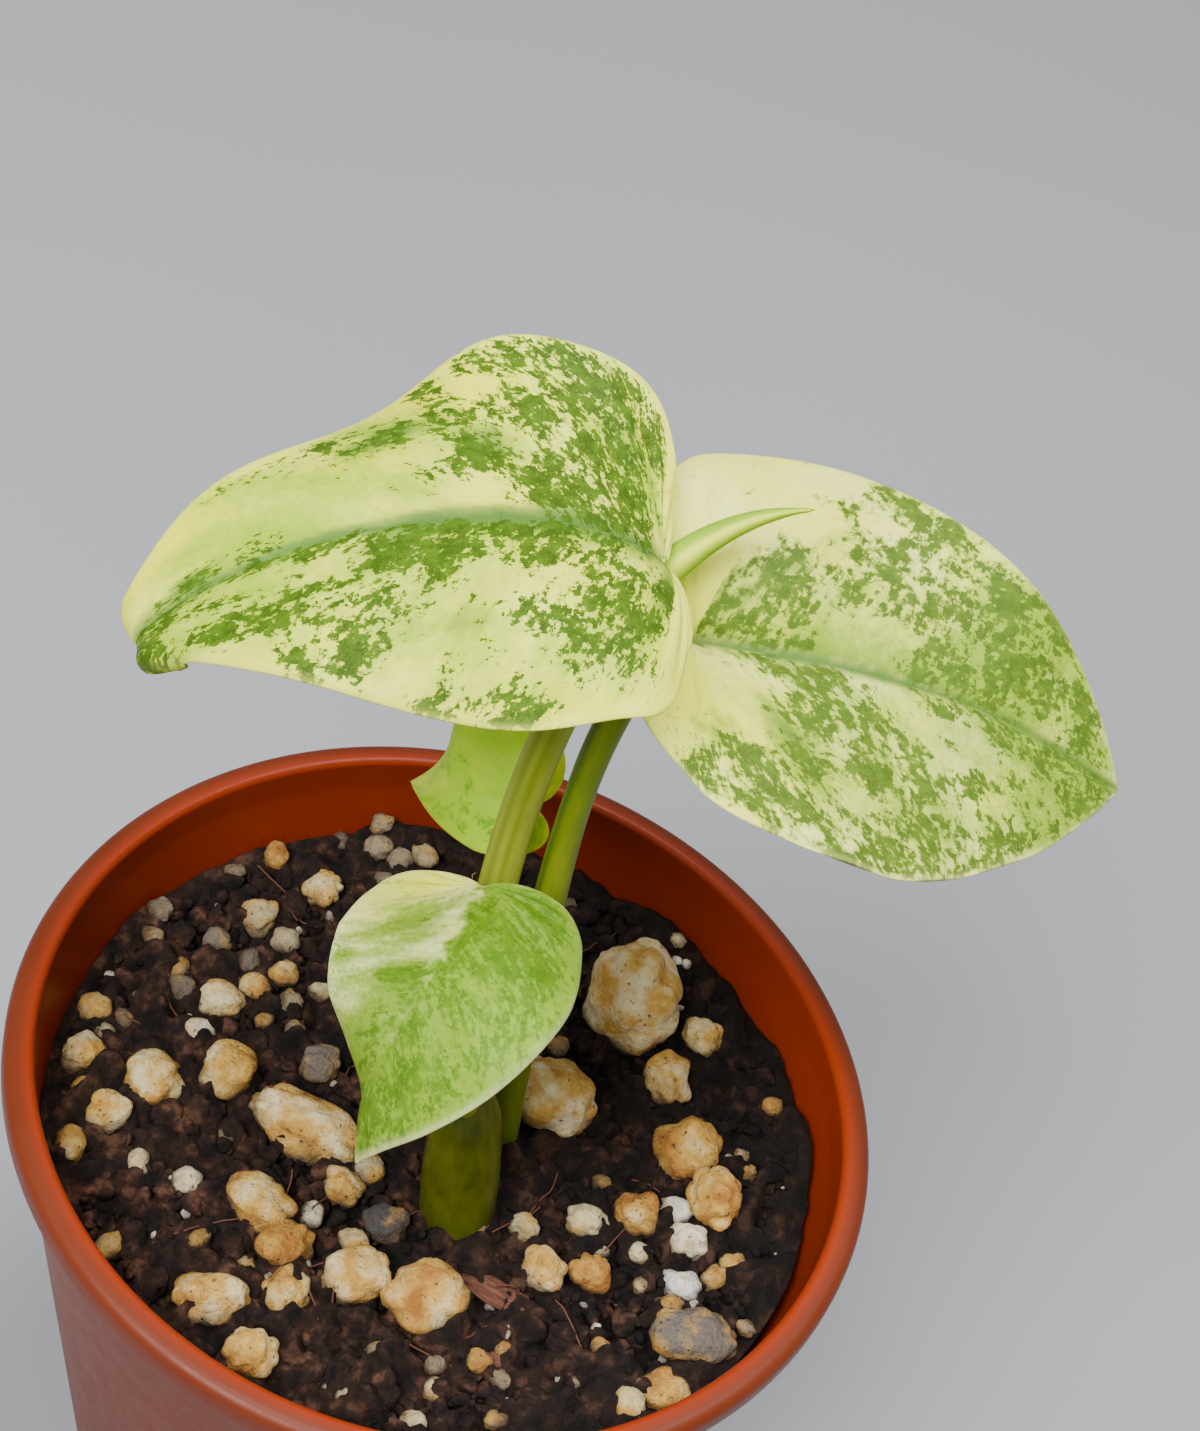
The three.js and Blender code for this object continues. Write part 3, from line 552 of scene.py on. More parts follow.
GREEN = {
    "leaf_left": dict(
        left=[(0.57, 0.04, 0.078, 0.091, 0.6), (0.66, 0.12, 0.065, 0.13, 0.9),
              (0.525, 0.3, 0.039, 0.13, 0.8), (0.58, 0.32, 0.046, 0.13, 0.9),
              (0.55, 0.5, 0.065, 0.156, 0.6), (0.57, 0.68, 0.052, 0.13, 0.55),
              (0.53, 0.75, 0.046, 0.104, 0.5), (0.47, 0.8, 0.039, 0.13, 0.35),
              (0.615, 0.26, 0.019, 0.065, 0.7), (0.64, 0.5, 0.046, 0.143, 0.85),
              (0.63, 0.93, 0.039, 0.091, 1), (0.685, 0.93, 0.019, 0.117, 0.9),
              (0.77, 0.88, 0.033, 0.169, 0.8), (0.755, 0.7, 0.026, 0.13, 0.65),
              (0.74, 0.15, 0.058, 0.104, 0.85), (0.755, 0.32, 0.046, 0.156, 0.85),
              (0.79, 0.52, 0.046, 0.13, 0.85), (0.835, 0.66, 0.039, 0.143, 0.8),
              (0.865, 0.78, 0.039, 0.104, 0.65), (0.82, 0.1, 0.039, 0.156, 0.9),
              (0.89, 0.45, 0.039, 0.156, 0.6), (0.9, 0.12, 0.039, 0.13, 0.65),
              (0.94, 0.4, 0.039, 0.52, 0.65), (0.67, 0.22, 0.026, 0.104, 0.75),
              (0.87, 0.05, 0.1, 0.09, 0.75), (0.94, 0.95, 0.07, 0.3, 0.95), (0.66, 0.72, 0.05, 0.1, 0.3)],
        right=[(0.64, 0.16, 0.065, 0.195, 1), (0.58, 0.3, 0.052, 0.169, 0.9),
               (0.55, 0.17, 0.039, 0.13, 0.8), (0.54, 0.46, 0.046, 0.104, 0.95),
               (0.59, 0.52, 0.039, 0.13, 0.9), (0.555, 0.75, 0.046, 0.26, 0.9),
               (0.6, 0.87, 0.052, 0.117, 0.75), (0.64, 0.58, 0.033, 0.117, 0.8),
               (0.69, 0.42, 0.026, 0.13, 0.75), (0.68, 0.66, 0.026, 0.169, 0.75),
               (0.73, 0.62, 0.039, 0.104, 0.6), (0.72, 0.31, 0.033, 0.091, 0.8),
               (0.42, 0.6, 0.117, 0.13, 0.75), (0.38, 0.76, 0.065, 0.091, 0.8),
               (0.46, 0.86, 0.078, 0.117, 0.7), (0.4, 0.4, 0.13, 0.104, 0.55),
               (0.38, 0.2, 0.156, 0.078, 0.6), (0.8, 0.88, 0.052, 0.091, 0.45),
               (0.9, 0.2, 0.052, 0.26, 0.5), (0.67, 0.9, 0.019, 0.091, 0.5), (0.5, 0.62, 0.039, 0.39, 0.65),
               (0.75, 0.8, 0.06, 0.1, 0.5), (0.76, 0.62, 0.03, 0.15, 0.45), (0.6, 0.12, 0.06, 0.12, 0.6)]),
    "leaf_right": dict(
        left=[(0.52, 0.08, 0.033, 0.13, 0.9), (0.56, 0.05, 0.065, 0.078, 0.9),
              (0.525, 0.22, 0.039, 0.104, 0.7), (0.55, 0.32, 0.033, 0.104, 0.85),
              (0.59, 0.17, 0.033, 0.117, 0.8), (0.62, 0.3, 0.033, 0.13, 0.65),
              (0.63, 0.51, 0.046, 0.117, 0.95), (0.65, 0.7, 0.023, 0.156, 0.8),
              (0.62, 0.85, 0.023, 0.104, 0.6), (0.58, 0.73, 0.018, 0.104, 0.55),
              (0.59, 0.96, 0.039, 0.065, 0.6), (0.675, 0.96, 0.026, 0.065, 0.85),
              (0.67, 0.33, 0.026, 0.091, 0.9), (0.69, 0.44, 0.026, 0.091, 0.95),
              (0.71, 0.68, 0.033, 0.195, 0.9), (0.75, 0.75, 0.046, 0.26, 0.8),
              (0.755, 0.5, 0.039, 0.13, 0.75), (0.75, 0.1, 0.052, 0.143, 0.9),
              (0.73, 0.28, 0.033, 0.13, 0.7), (0.81, 0.75, 0.052, 0.26, 0.8), (0.84, 0.3, 0.039, 0.26, 0.6),
              (0.79, 0.35, 0.019, 0.195, 0.7), (0.86, 0.6, 0.039, 0.325, 0.65),
              (0.93, 0.5, 0.039, 0.52, 0.6), (0.84, 0.5, 0.13, 0.8, 0.45), (0.66, 0.9, 0.04, 0.12, 0.6),
              (0.6, 0.88, 0.02, 0.15, 0.45)],
        right=[(0.385, 0.75, 0.046, 0.104, 0.9), (0.33, 0.84, 0.026, 0.104, 0.6),
               (0.3, 0.96, 0.039, 0.065, 0.7), (0.36, 0.93, 0.033, 0.052, 0.7),
               (0.45, 0.62, 0.065, 0.13, 0.75), (0.46, 0.81, 0.058, 0.091, 0.8),
               (0.45, 0.93, 0.026, 0.091, 0.65), (0.525, 0.57, 0.039, 0.156, 0.7),
               (0.57, 0.32, 0.039, 0.117, 0.75), (0.56, 0.08, 0.039, 0.078, 0.65),
               (0.63, 0.18, 0.046, 0.156, 0.95), (0.655, 0.37, 0.039, 0.117, 0.85),
               (0.615, 0.57, 0.026, 0.13, 0.85), (0.665, 0.54, 0.026, 0.091, 0.9),
               (0.57, 0.83, 0.039, 0.117, 0.95), (0.65, 0.77, 0.065, 0.091, 0.9),
               (0.68, 0.9, 0.078, 0.078, 0.9), (0.71, 0.55, 0.033, 0.078, 0.9),
               (0.755, 0.53, 0.039, 0.091, 0.75), (0.77, 0.07, 0.046, 0.104, 0.85),
               (0.83, 0.2, 0.039, 0.156, 0.85), (0.875, 0.38, 0.033, 0.13, 0.7),
               (0.73, 0.33, 0.013, 0.078, 0.65), (0.74, 0.7, 0.039, 0.065, 0.5),
               (0.93, 0.4, 0.039, 0.52, 0.7), (0.42, 0.78, 0.11, 0.2, 0.5), (0.62, 0.5, 0.08, 0.5, 0.4),
               (0.68, 0.86, 0.12, 0.14, 0.5), (0.86, 0.12, 0.1, 0.14, 0.6), (0.88, 0.62, 0.05, 0.4, 0.6),
               (0.95, 0.6, 0.05, 0.8, 0.75), (0.8, 0.9, 0.07, 0.1, 0.7), (0.6, 0.97, 0.2, 0.05, 0.55),
               (0.8, 0.55, 0.03, 0.2, 0.55)]),
    "leaf_front": dict(
        left=[(0.35, 0.45, 0.26, 0.52, 1.2), (0.56, 0.5, 0.078, 0.455, 1), (0.58, 0.05, 0.13, 0.104, 0.95),
              (0.66, 0.2, 0.065, 0.26, 0.7), (0.74, 0.55, 0.104, 0.455, 0.7),
              (0.64, 0.8, 0.078, 0.26, 0.65), (0.84, 0.5, 0.078, 0.65, 0.85), (0.93, 0.4, 0.065, 0.78, 1.1),
              (0.75, 0.1, 0.078, 0.13, 0.75)],
        right=[(0.695, 0.28, 0.033, 0.234, 0.95), (0.75, 0.08, 0.078, 0.104, 0.75),
               (0.78, 0.35, 0.052, 0.195, 0.65), (0.86, 0.4, 0.065, 0.65, 0.75),
               (0.94, 0.4, 0.065, 0.78, 1.1), (0.56, 0.35, 0.052, 0.26, 0.55),
               (0.66, 0.85, 0.065, 0.156, 0.5)]),
    "leaf_back": dict(
        left=[(0.72, 0.4, 0.156, 0.52, 0.6), (0.55, 0.5, 0.13, 0.39, 0.5)],
        right=[(0.7, 0.4, 0.13, 0.39, 0.5)]),
}
WASH = {
    "leaf_left": dict(
        left=[(0.66, 0.06, 0.182, 0.104, 0.9), (0.66, 0.9, 0.065, 0.156, 0.4),
              (0.65, 0.68, 0.065, 0.13, 0.4), (0.74, 0.35, 0.091, 0.325, 0.5),
              (0.73, 0.68, 0.052, 0.195, 0.45), (0.9, 0.5, 0.104, 0.91, 0.75),
              (0.55, 0.5, 0.078, 0.455, 0.5), (0.45, 0.85, 0.13, 0.195, 0.35)],
        right=[(0.68, 0.45, 0.033, 0.26, 0.5), (0.73, 0.7, 0.052, 0.325, 0.6),
               (0.85, 0.4, 0.091, 0.65, 0.8), (0.4, 0.25, 0.195, 0.26, 0.6), (0.5, 0.45, 0.104, 0.39, 0.45),
               (0.77, 0.25, 0.052, 0.26, 0.4)]),
    "leaf_right": dict(
        left=[(0.68, 0.06, 0.13, 0.13, 0.9), (0.8, 0.5, 0.104, 0.91, 0.85), (0.95, 0.5, 0.078, 0.91, 0.7),
              (0.62, 0.25, 0.065, 0.195, 0.5)],
        right=[(0.36, 0.58, 0.065, 0.065, 0.7), (0.43, 0.46, 0.033, 0.065, 0.7),
               (0.53, 0.5, 0.039, 0.325, 0.65), (0.65, 0.75, 0.091, 0.234, 0.6),
               (0.85, 0.8, 0.078, 0.26, 0.6), (0.93, 0.5, 0.09, 0.9, 0.95), (0.65, 0.3, 0.104, 0.325, 0.5),
               (0.83, 0.2, 0.104, 0.325, 0.75), (0.84, 0.75, 0.1, 0.4, 0.6)]),
    "leaf_front": dict(
        left=[(0.4, 0.5, 0.455, 1.04, 1.2), (0.8, 0.5, 0.325, 1.04, 0.85)],
        right=[(0.56, 0.4, 0.078, 0.39, 0.7), (0.72, 0.3, 0.104, 0.39, 0.7), (0.88, 0.5, 0.13, 1.04, 1),
               (0.6, 0.6, 0.3, 0.7, 0.35), (0.65, 0.85, 0.078, 0.195, 0.5)]),
    "leaf_back": dict(
        left=[(0.6, 0.5, 0.52, 1.04, 1.1)],
        right=[(0.6, 0.5, 0.39, 1.04, 0.8)]),
}
DEEP = {
    "leaf_left": dict(
        left=[(0.62, 0.04, 0.156, 0.078, 1), (0.7, 0.01, 0.2, 0.06, 1), (0.525, 0.28, 0.033, 0.13, 0.7),
              (0.78, 0.2, 0.039, 0.26, 0.6), (0.7, 0.62, 0.026, 0.078, 0.5),
              (0.55, 0.15, 0.052, 0.078, 0.6)],
        right=[(0.7, 0.01, 0.22, 0.07, 1), (0.675, 0.42, 0.026, 0.13, 0.75),
               (0.73, 0.63, 0.046, 0.104, 0.75), (0.53, 0.46, 0.026, 0.078, 0.6),
               (0.55, 0.8, 0.026, 0.195, 0.45), (0.92, 0.25, 0.039, 0.26, 0.6)]),
    "leaf_right": dict(
        left=[(0.66, 0.0, 0.16, 0.04, 0.9), (0.52, 0.2, 0.033, 0.13, 0.75),
              (0.55, 0.33, 0.026, 0.065, 0.55), (0.69, 0.44, 0.019, 0.078, 0.6)],
        right=[(0.66, 0.0, 0.16, 0.04, 0.9), (0.54, 0.42, 0.026, 0.13, 0.6),
               (0.57, 0.06, 0.052, 0.078, 0.6)]),
    "leaf_front": dict(
        left=[(0.56, 0.25, 0.039, 0.195, 0.6)],
        right=[(0.695, 0.28, 0.026, 0.195, 0.7)]),
    "leaf_back": dict(
        left=[],
        right=[]),
}
GOLD = {
    "leaf_left": dict(
        left=[(0.58, 0.9, 0.078, 0.104, 0.5)],
        right=[(0.67, 0.78, 0.065, 0.208, 0.9), (0.88, 0.9, 0.065, 0.195, 0.9),
               (0.76, 0.5, 0.039, 0.39, 0.5)]),
    "leaf_right": dict(
        left=[(0.3, 0.12, 0.325, 0.26, 0.8)],
        right=[(0.3, 0.35, 0.26, 0.455, 0.9)]),
    "leaf_front": dict(
        left=[],
        right=[(0.32, 0.5, 0.234, 0.52, 1)]),
    "leaf_back": dict(
        left=[],
        right=[(0.3, 0.5, 0.39, 0.78, 0.6)]),
}


def dabs(table, q, s):
    """How strongly a side's dabs, taken together, cover each place of the blade."""
    bare = np.ones_like(q)
    for along, across, reach, spread, strength in table:
        bare *= 1 - min(strength, 1) * np.exp(
            -(((q - along) / reach) ** 2 + ((s - across) / spread) ** 2) ** 1.3)
    return 1 - bare


def vein_point(leaf, q, s):
    """A flat place on the vein that ends at q of the margin, s of the way out from the midrib."""
    margin = spline(leaf["outline"], q)
    root = np.maximum(0, (q - FAN) / (1 - FAN)) ** SWEEP
    bow = root + (margin[..., 0] - root) * BOW_ALONG
    r = 1 - s
    along = r * r * root + 2 * r * s * bow + s * s * margin[..., 0]
    return along, 2 * r * s * margin[..., 1] * BOW_ACROSS + s * s * margin[..., 1]


def blade_length(leaf):
    """The midrib's length without and with the part that is rolled under."""
    line = bezier(leaf["midrib"], np.linspace(0, 1, 201))
    straight = np.linalg.norm(np.diff(line, axis=0), axis=1).sum()
    return straight, straight + leaf["roll"][0] * math.radians(leaf["roll"][1])


def blade_surface(leaf, half, along, across):
    """The place in the air of a flat place on the blade."""
    straight, length = blade_length(leaf)
    face = unit(np.asarray(leaf["face"], float))
    distance = along * length
    t = np.clip(distance / straight, 0, 1)
    point, forward = bezier(leaf["midrib"], t), bezier_way(leaf["midrib"], t)
    side = unit(np.cross(np.broadcast_to(face, forward.shape), forward))
    across = across * (leaf["narrow"] if half > 0 else 1)
    first, last = leaf["twist"]
    side = turned(side, forward, np.radians(first + (last - first) * along))
    up = unit(np.cross(forward, side))
    radius = leaf["roll"][0]
    if radius:
        angle = np.maximum(distance - straight, 0) / radius
        point = point + radius * (
            np.sin(angle)[..., None] * forward - (1 - np.cos(angle))[..., None] * up)
        up, forward = turned(up, side, angle), turned(forward, side, angle)
    point = point + forward * np.minimum(distance, 0)[..., None]
    start = np.radians(keyed(leaf["lift"][SIDES[half]], along))
    bend = np.radians(keyed(leaf["cup"][SIDES[half]], along)) / 10
    bend = np.where(np.abs(bend) < 1e-5, 1e-5, bend)
    end = start + bend * across * length
    out = (np.sin(end) - np.sin(start)) / bend
    rise = (np.cos(start) - np.cos(end)) / bend
    return point + half * out[..., None] * side + rise[..., None] * up


def blade_up(leaf, half, along, across, step=0.004):
    """The way that the blade's upper side faces."""
    lengthwise = (blade_surface(leaf, half, along + step, across)
                  - blade_surface(leaf, half, along - step, across))
    crosswise = (blade_surface(leaf, half, along, across + step)
                 - blade_surface(leaf, half, along, across - step))
    return unit(half * np.cross(lengthwise, crosswise))


def curled(leaf, half, q, sheet, up):
    """Rolls the margin under where the leaf has a curl, without moving its outline as seen from above."""
    steps = np.linalg.norm(np.diff(sheet, axis=1), axis=2)
    walked = np.concatenate([np.zeros((len(q), 1)), np.cumsum(steps, axis=1)], axis=1)
    sheet, up = sheet.copy(), up.copy()
    for side, first, last, most, radius in leaf["curls"]:
        if side != half:
            continue
        fade = CURL_FADE * (last - first)
        for row, place in enumerate(q[:, 0]):
            # a curl fades out at both its ends, but not where it ends with the leaf
            share = np.clip(min((place - first) / fade if first > 0 else 1,
                                (last - place) / fade if last < 1 else 1), 0, 1)
            angle = math.radians(most) * share * share * (3 - 2 * share)
            reach = min(radius, 0.6 * walked[row, -1])
            if angle < 0.02 or reach < 0.05:
                continue
            spread = reach / math.sin(min(angle, math.pi / 2))
            fold = walked[row, -1] - reach
            over = np.clip((walked[row] - fold) / reach, 0, 1)
            bend = (angle * over)[:, None]
            base = np.array([np.interp(fold, walked[row], sheet[row, :, axis]) for axis in range(3)])
            rise = unit(np.array([np.interp(fold, walked[row], up[row, :, axis]) for axis in range(3)]))
            out = unit(sheet[row, -1] - base)
            out = unit(out - rise * np.dot(out, rise))
            rolled = over[:, None] > 0
            up[row] = np.where(rolled, np.cos(bend) * rise + np.sin(bend) * out, up[row])
            bent = base + spread * np.sin(bend) * out - spread * (1 - np.cos(bend)) * rise
            sheet[row] = np.where(rolled, bent, sheet[row])
    return sheet, up


def make_leaf(name, leaf):
    """A blade of two halves that meet at its midrib, each with an upper side, an underside and a margin."""
    rows, columns = leaf["size"]
    q, s = np.meshgrid(np.linspace(0, 1, rows + 1), np.linspace(0, 1, columns + 1) ** 0.9, indexing="ij")
    _, length = blade_length(leaf)
    along, across = vein_point(leaf, q, s)
    from_spine = across * length
    spine_side, margin_side = (np.stack(vein_point(leaf, q, end), -1) for end in (0 * s, np.ones_like(s)))
    from_margin = (1 - s) * np.linalg.norm(margin_side - spine_side, axis=-1) * length
    ridge = np.clip(1 - np.clip(along, 0, 1) * 0.85, 0, 1)
    ends = np.clip(np.minimum(q, 1 - q) * 30, 0, 1)  # both halves meet in one point at the base and the tip
    thick = LEAF_THICKNESS / 2 * np.clip(0.45 + 0.55 * from_margin / 0.5, 0, 1)
    groove = GROOVE_DEPTH * ridge * np.exp(-(from_spine / GROOVE_WIDTH) ** 2)
    keel = (0.25 + 0.75 * ridge) * np.exp(-(from_spine / KEEL_WIDTH) ** 2)
    spine = np.exp(-(from_spine / (0.5 + 0.5 * ridge)) ** 2)
    margin = np.exp(-(from_margin / PALE_EDGE) ** 2)
    ups = {half: blade_up(leaf, half, along, across) for half in SIDES}
    middle = unit(ups[1][:, :1] + ups[-1][:, :1])
    blend = (np.clip(s * 12, 0, 1) * ends)[..., None]
    verts, faces = [], []
    fields = {key: [] for key in ("green", "wash", "deep", "gold", "spine", "margin")}
    maps = {"flat": [], "veins": []}
    for half, side in SIDES.items():
        up = unit(ups[half] * blend + middle * (1 - blend))
        sheet, up = curled(leaf, half, q, blade_surface(leaf, half, along, across), up)
        swell = SWELL_HEIGHT * np.sin(TAU * SWELLS * q + half) * np.sin(math.pi * np.clip(s, 0, 1)) ** 2
        if half < 0:
            ruffle = np.clip((q - 0.4) / 0.15, 0, 1) * np.clip((s - 0.6) / 0.4, 0, 1) ** 2
            swell += leaf["wave"] * np.sin(TAU * RUFFLES * q) * ruffle
        swell *= ends
        above, line = len(verts), columns + 1
        below = above + s.size
        for height in (swell + thick - groove, swell - thick - keel):
            verts.extend((sheet + up * height[..., None]).reshape(-1, 3))
        verts.extend(sheet[:, -1] + EDGE_ROUND * unit(sheet[:, -1] - sheet[:, -2]))
        faces += grid_faces(rows + 1, line, above, flip=half < 0)
        faces += grid_faces(rows + 1, line, below, flip=half > 0)
        for row in range(rows):
            top, under = (start + row * line + columns for start in (above, below))
            edge = below + s.size + row
            for face in ((top, edge, edge + 1, top + line), (edge, under, under + line, edge + 1)):
                faces.append(face[::half])
        painted = [dabs(table[name][side], q, s) for table in (GREEN, WASH, DEEP, GOLD)]
        for key, share in zip(fields, painted + [spine, margin]):
            fields[key] += [share.ravel(), share.ravel(), share[:, -1]]
        flat = np.stack([along * length, half * across * length], -1) * MM / FLAT_UNIT
        veins = np.stack([q, half * (0.05 + s)], -1)
        for key, place in (("flat", flat), ("veins", veins)):
            maps[key] += [place.reshape(-1, 2), place.reshape(-1, 2), place[:, -1]]
    finished(
        name + "_blade", verts, faces, leaf_skin("living_" + name, LEAF_LOOKS[name]),
        [name],
        {key: np.concatenate(parts) for key, parts in fields.items()},
        {key: np.concatenate(parts) for key, parts in maps.items()}, weld=0.002)


for leaf_name, leaf_shape in LEAVES.items():
    make_leaf(leaf_name, leaf_shape)


# Stalks: round or grooved, bent along the same routes as the solids

def make_stalk(name, node, route, radii, skin, sides=40, rings=90, grooves=(), seam=0.0, end=0.4,
               press=None):
    """A stalk along its route.

    grooves are (angle in degrees, width in degrees, depth as a share), seam lifts one edge of a roll, end is
    how far its tip stands out, and press flattens it: (the way, the share of its depth that is left).
    """
    t = np.linspace(0, 1, rings + 1)
    fine = bezier(route, np.linspace(0, 1, 400))
    walked = np.concatenate([[0], np.cumsum(np.linalg.norm(np.diff(fine, axis=0), axis=1))])
    place = np.interp(t * walked[-1], walked, np.linspace(0, 1, 400))
    centre, way = bezier(route, place), bezier_way(route, place)
    radius = keyed(radii, t)
    normal = np.empty_like(centre)
    normal[0] = unit(np.cross(way[0], (0, 0.2, 1) if abs(way[0][2]) < 0.9 else (0, 1, 0)))
    for i in range(1, rings + 1):
        normal[i] = unit(normal[i - 1] - way[i] * np.dot(normal[i - 1], way[i]))
    other = np.cross(way, normal)
    angle = np.arange(sides) * TAU / sides
    shape = np.ones(sides)
    hollow = np.zeros(sides)
    for where, width, depth in grooves:
        off = (np.degrees(angle) - where + 180) % 360 - 180
        dip = np.exp(-(off / width) ** 2)
        shape -= depth * dip
        hollow = np.maximum(hollow, dip)
    if seam:
        shape += seam * (angle / TAU - 0.5)
    ring = np.cos(angle)[None, :, None] * normal[:, None] + np.sin(angle)[None, :, None] * other[:, None]
    offset = ring * (radius[:, None] * shape[None])[..., None]
    hollow = np.broadcast_to(hollow, (rings + 1, sides))
    if press:
        flat_way = np.array(press[0])
        depth = offset @ flat_way
        hollow = np.maximum(hollow, np.exp(-((depth / radius[:, None] + 0.05) / 0.34) ** 2))
        offset = offset - ((1 - press[1]) * depth)[..., None] * flat_way
    verts = list((centre[:, None] + offset).reshape(-1, 3))
    verts += [centre[0] - way[0] * 0.2, centre[-1] + way[-1] * end]
    # the map counts once around the stalk, and once for each 40 mm of its length
    around, along = np.broadcast_arrays(angle / TAU, (t * walked[-1] / 40)[:, None])
    around = np.concatenate([
        np.stack([around, along], -1).reshape(-1, 2), [[0.5, 0], [0.5, walked[-1] / 40]]])
    finished(name, verts, tube_faces(rings, sides), skin, [node],
             {"groove": np.concatenate([hollow.ravel(), [0, 0]])}, {"around": around}, weld=0.001)


petiole_green = stalk_skin("smooth_petiole", "#9ca624", "#87931a", "#788610")
petiole_dark = stalk_skin("smooth_green_petiole", "#7e8e0a", "#687c08", "#4c6404")
stem_olive = stalk_skin("smooth_olive_stem", "#5c6410", "#3d4208", "#2b2e08", 0.4)
spear_green = stalk_skin("rolled_leaf", "#a4cc14", "#7eae08", "#e6ee3c")

make_stalk("stem_skin", "stem",
           [(7.3, -11, 46), (6.5, -10.3, 60), (4.2, -9.8, 72), (2.2, -7.6, 84)],
           [1.6, 2.2, 2.5, 3, 3.8, 3.95, 3.85, 3.5, 2.2], stem_olive, sides=48, rings=110)
make_stalk("petiole_left_skin", "petiole_left",
           [(2.2, -7.8, 80), (-2.2, -1, 100), (-4, 3, 124), (3.2, 11.2, 137.4)],
           [2.1, 2.1, 2, 1.9, 1.85, 1.8, 1.8, 1.9, 1.4], petiole_green,
           grooves=[(60, 12, 0.06), (100, 9, 0.05), (250, 16, 0.08)])
make_stalk("petiole_right_skin", "petiole_right",
           [(7.8, 1.5, 56), (5.2, -2, 95), (-1.2, 3.7, 126.5), (7.9, 15.9, 125.9)],
           [1.3, 1.9, 1.8, 1.75, 1.7, 1.6, 1.45, 1.5, 1.2], petiole_dark,
           grooves=[(40, 14, 0.04), (220, 20, 0.08)])
make_stalk("petiole_front_skin", "petiole_front",
           [(2.4, -8.4, 78), (2.5, -12, 92), (-1, -10.3, 105), (-2.5, -8.8, 112.2)],
           [1.5, 1.5, 1.4, 1.3, 1.2, 1.2, 1.3, 1], petiole_green, sides=28, rings=60,
           grooves=[(90, 18, 0.12)])
make_stalk("petiole_back_skin", "petiole_back",
           [(2, -6.8, 78), (-1, 0, 90), (-1.8, 4, 99), (-0.7, 7.6, 107.2)],
           [1.3, 1.3, 1.2, 1.15, 1.1, 1.1, 1.2, 0.9], petiole_green, sides=28, rings=60,
           grooves=[(90, 18, 0.12)])
make_stalk("new_leaf_roll", "new_leaf",
           [(0.7, 7.8, 122), (0.5, 12.5, 133), (6, 19.5, 139), (14.7, 24.7, 139.1)],
           [0.7, 1, 1.3, 1.7, 1.9, 1.9, 1.7, 1.35, 0.9, 0.35], spear_green, sides=44, rings=80,
           seam=0.16, end=0.8, press=(CAMERA_UP, 0.64))


# Pot: the CAD's profile with rounded corners, turned with many more sides

POT_HEIGHT, POT_BASE, POT_WALL_TOP, POT_WALL, POT_RIM = 76, 30.3, 43.2, 1.2, 45
RIM_INSIDE, RIM_HEIGHT, POT_FLOOR, FLOOR_RISE = 41.9, 3.4, 1.5, 2.5
DRAINS, DRAIN_RADIUS, DRAIN_CIRCLE = 6, 3, 16.5


def wall_outside(z):
    """The outer wall's radius at a height."""
    return POT_BASE + (POT_WALL_TOP - POT_BASE) * z / (POT_HEIGHT - RIM_HEIGHT)


def wall_inside(z):
    """The inner wall's radius at a height."""
    return wall_outside(z) - POT_WALL


def drain_holes():
    """Short rods where the floor's drainage holes go."""
    rods = bmesh.new()
    for number in range(DRAINS):
        angle = (number + 0.5) * TAU / DRAINS
        place = Vector((
            DRAIN_CIRCLE * math.cos(angle), DRAIN_CIRCLE * math.sin(angle), FLOOR_RISE + POT_FLOOR / 2))
        # turned a little, so that no corner of a rod lies on an edge of the floor
        bmesh.ops.create_cone(
            rods, cap_ends=True, segments=32, radius1=DRAIN_RADIUS * MM, radius2=DRAIN_RADIUS * MM,
            depth=2 * POT_FLOOR * MM, matrix=Matrix.Translation(place * MM) @ Matrix.Rotation(0.07, 4, "Z"))
    mesh = bpy.data.meshes.new("drains")
    rods.to_mesh(mesh)
    rods.free()
    return mesh


def rounded(r, z, size, first, last, steps=6):
    """A rounded corner of the pot's profile, from the first angle to the last."""
    angles = np.radians(np.linspace(first, last, steps))
    return [(r + size * math.cos(a), z + size * math.sin(a)) for a in angles]


def make_pot(segments=192):
    """The pot turned from its profile: up the outside, over the rim and down the inside."""
    under = POT_HEIGHT - RIM_HEIGHT
    heights = range(6, 67, 12)
    floor = [(0, 0), (7.6, 0), (8.2, 0.1), (9.7, 2.3), (10.4, 2.5), (22.6, 2.5), (23.3, 2.3), (24.8, 0.15),
             (25.3, 0)]
    outside = floor + [(29.6, 0)] + rounded(29.6, 0.75, 0.75, -90, -10, 5)
    outside += [(wall_outside(z), z) for z in heights]
    outside += [(wall_outside(under) - 0.02, under - 0.5), (wall_outside(under) + 0.15, under - 0.1)]
    outside += rounded(POT_RIM - 0.7, under + 0.75, 0.7, -80, 0)
    outside += rounded(POT_RIM - 1.3, POT_HEIGHT - 1.3, 1.3, 5, 90, 9)
    inside = rounded(RIM_INSIDE + 0.8, POT_HEIGHT - 0.8, 0.8, 92, 180, 7)
    inside += [(wall_inside(under - 0.6) + 0.03, under - 0.2), (wall_inside(under - 1.4), under - 1.4)]
    inside += [(wall_inside(z), z) for z in reversed(heights)]
    inside += [(wall_inside(POT_FLOOR), POT_FLOOR)] + [(r, z + POT_FLOOR) for r, z in reversed(floor)]
    profile = np.array(outside + inside)
    angle = np.arange(segments) * TAU / segments
    verts = np.stack([np.outer(profile[:, 0], np.cos(angle)), np.outer(profile[:, 0], np.sin(angle)),
                      np.repeat(profile[:, 1:], segments, axis=1)], -1)
    is_inside = np.repeat([0.0, 1.0], [len(outside) * segments, len(inside) * segments])
    finished("nursery_pot", verts.reshape(-1, 3), grid_faces(len(profile), segments, around=True),
             pot_plastic(), ["pot"], {"inside": is_inside}, weld=0.001, holes=drain_holes())


make_pot()


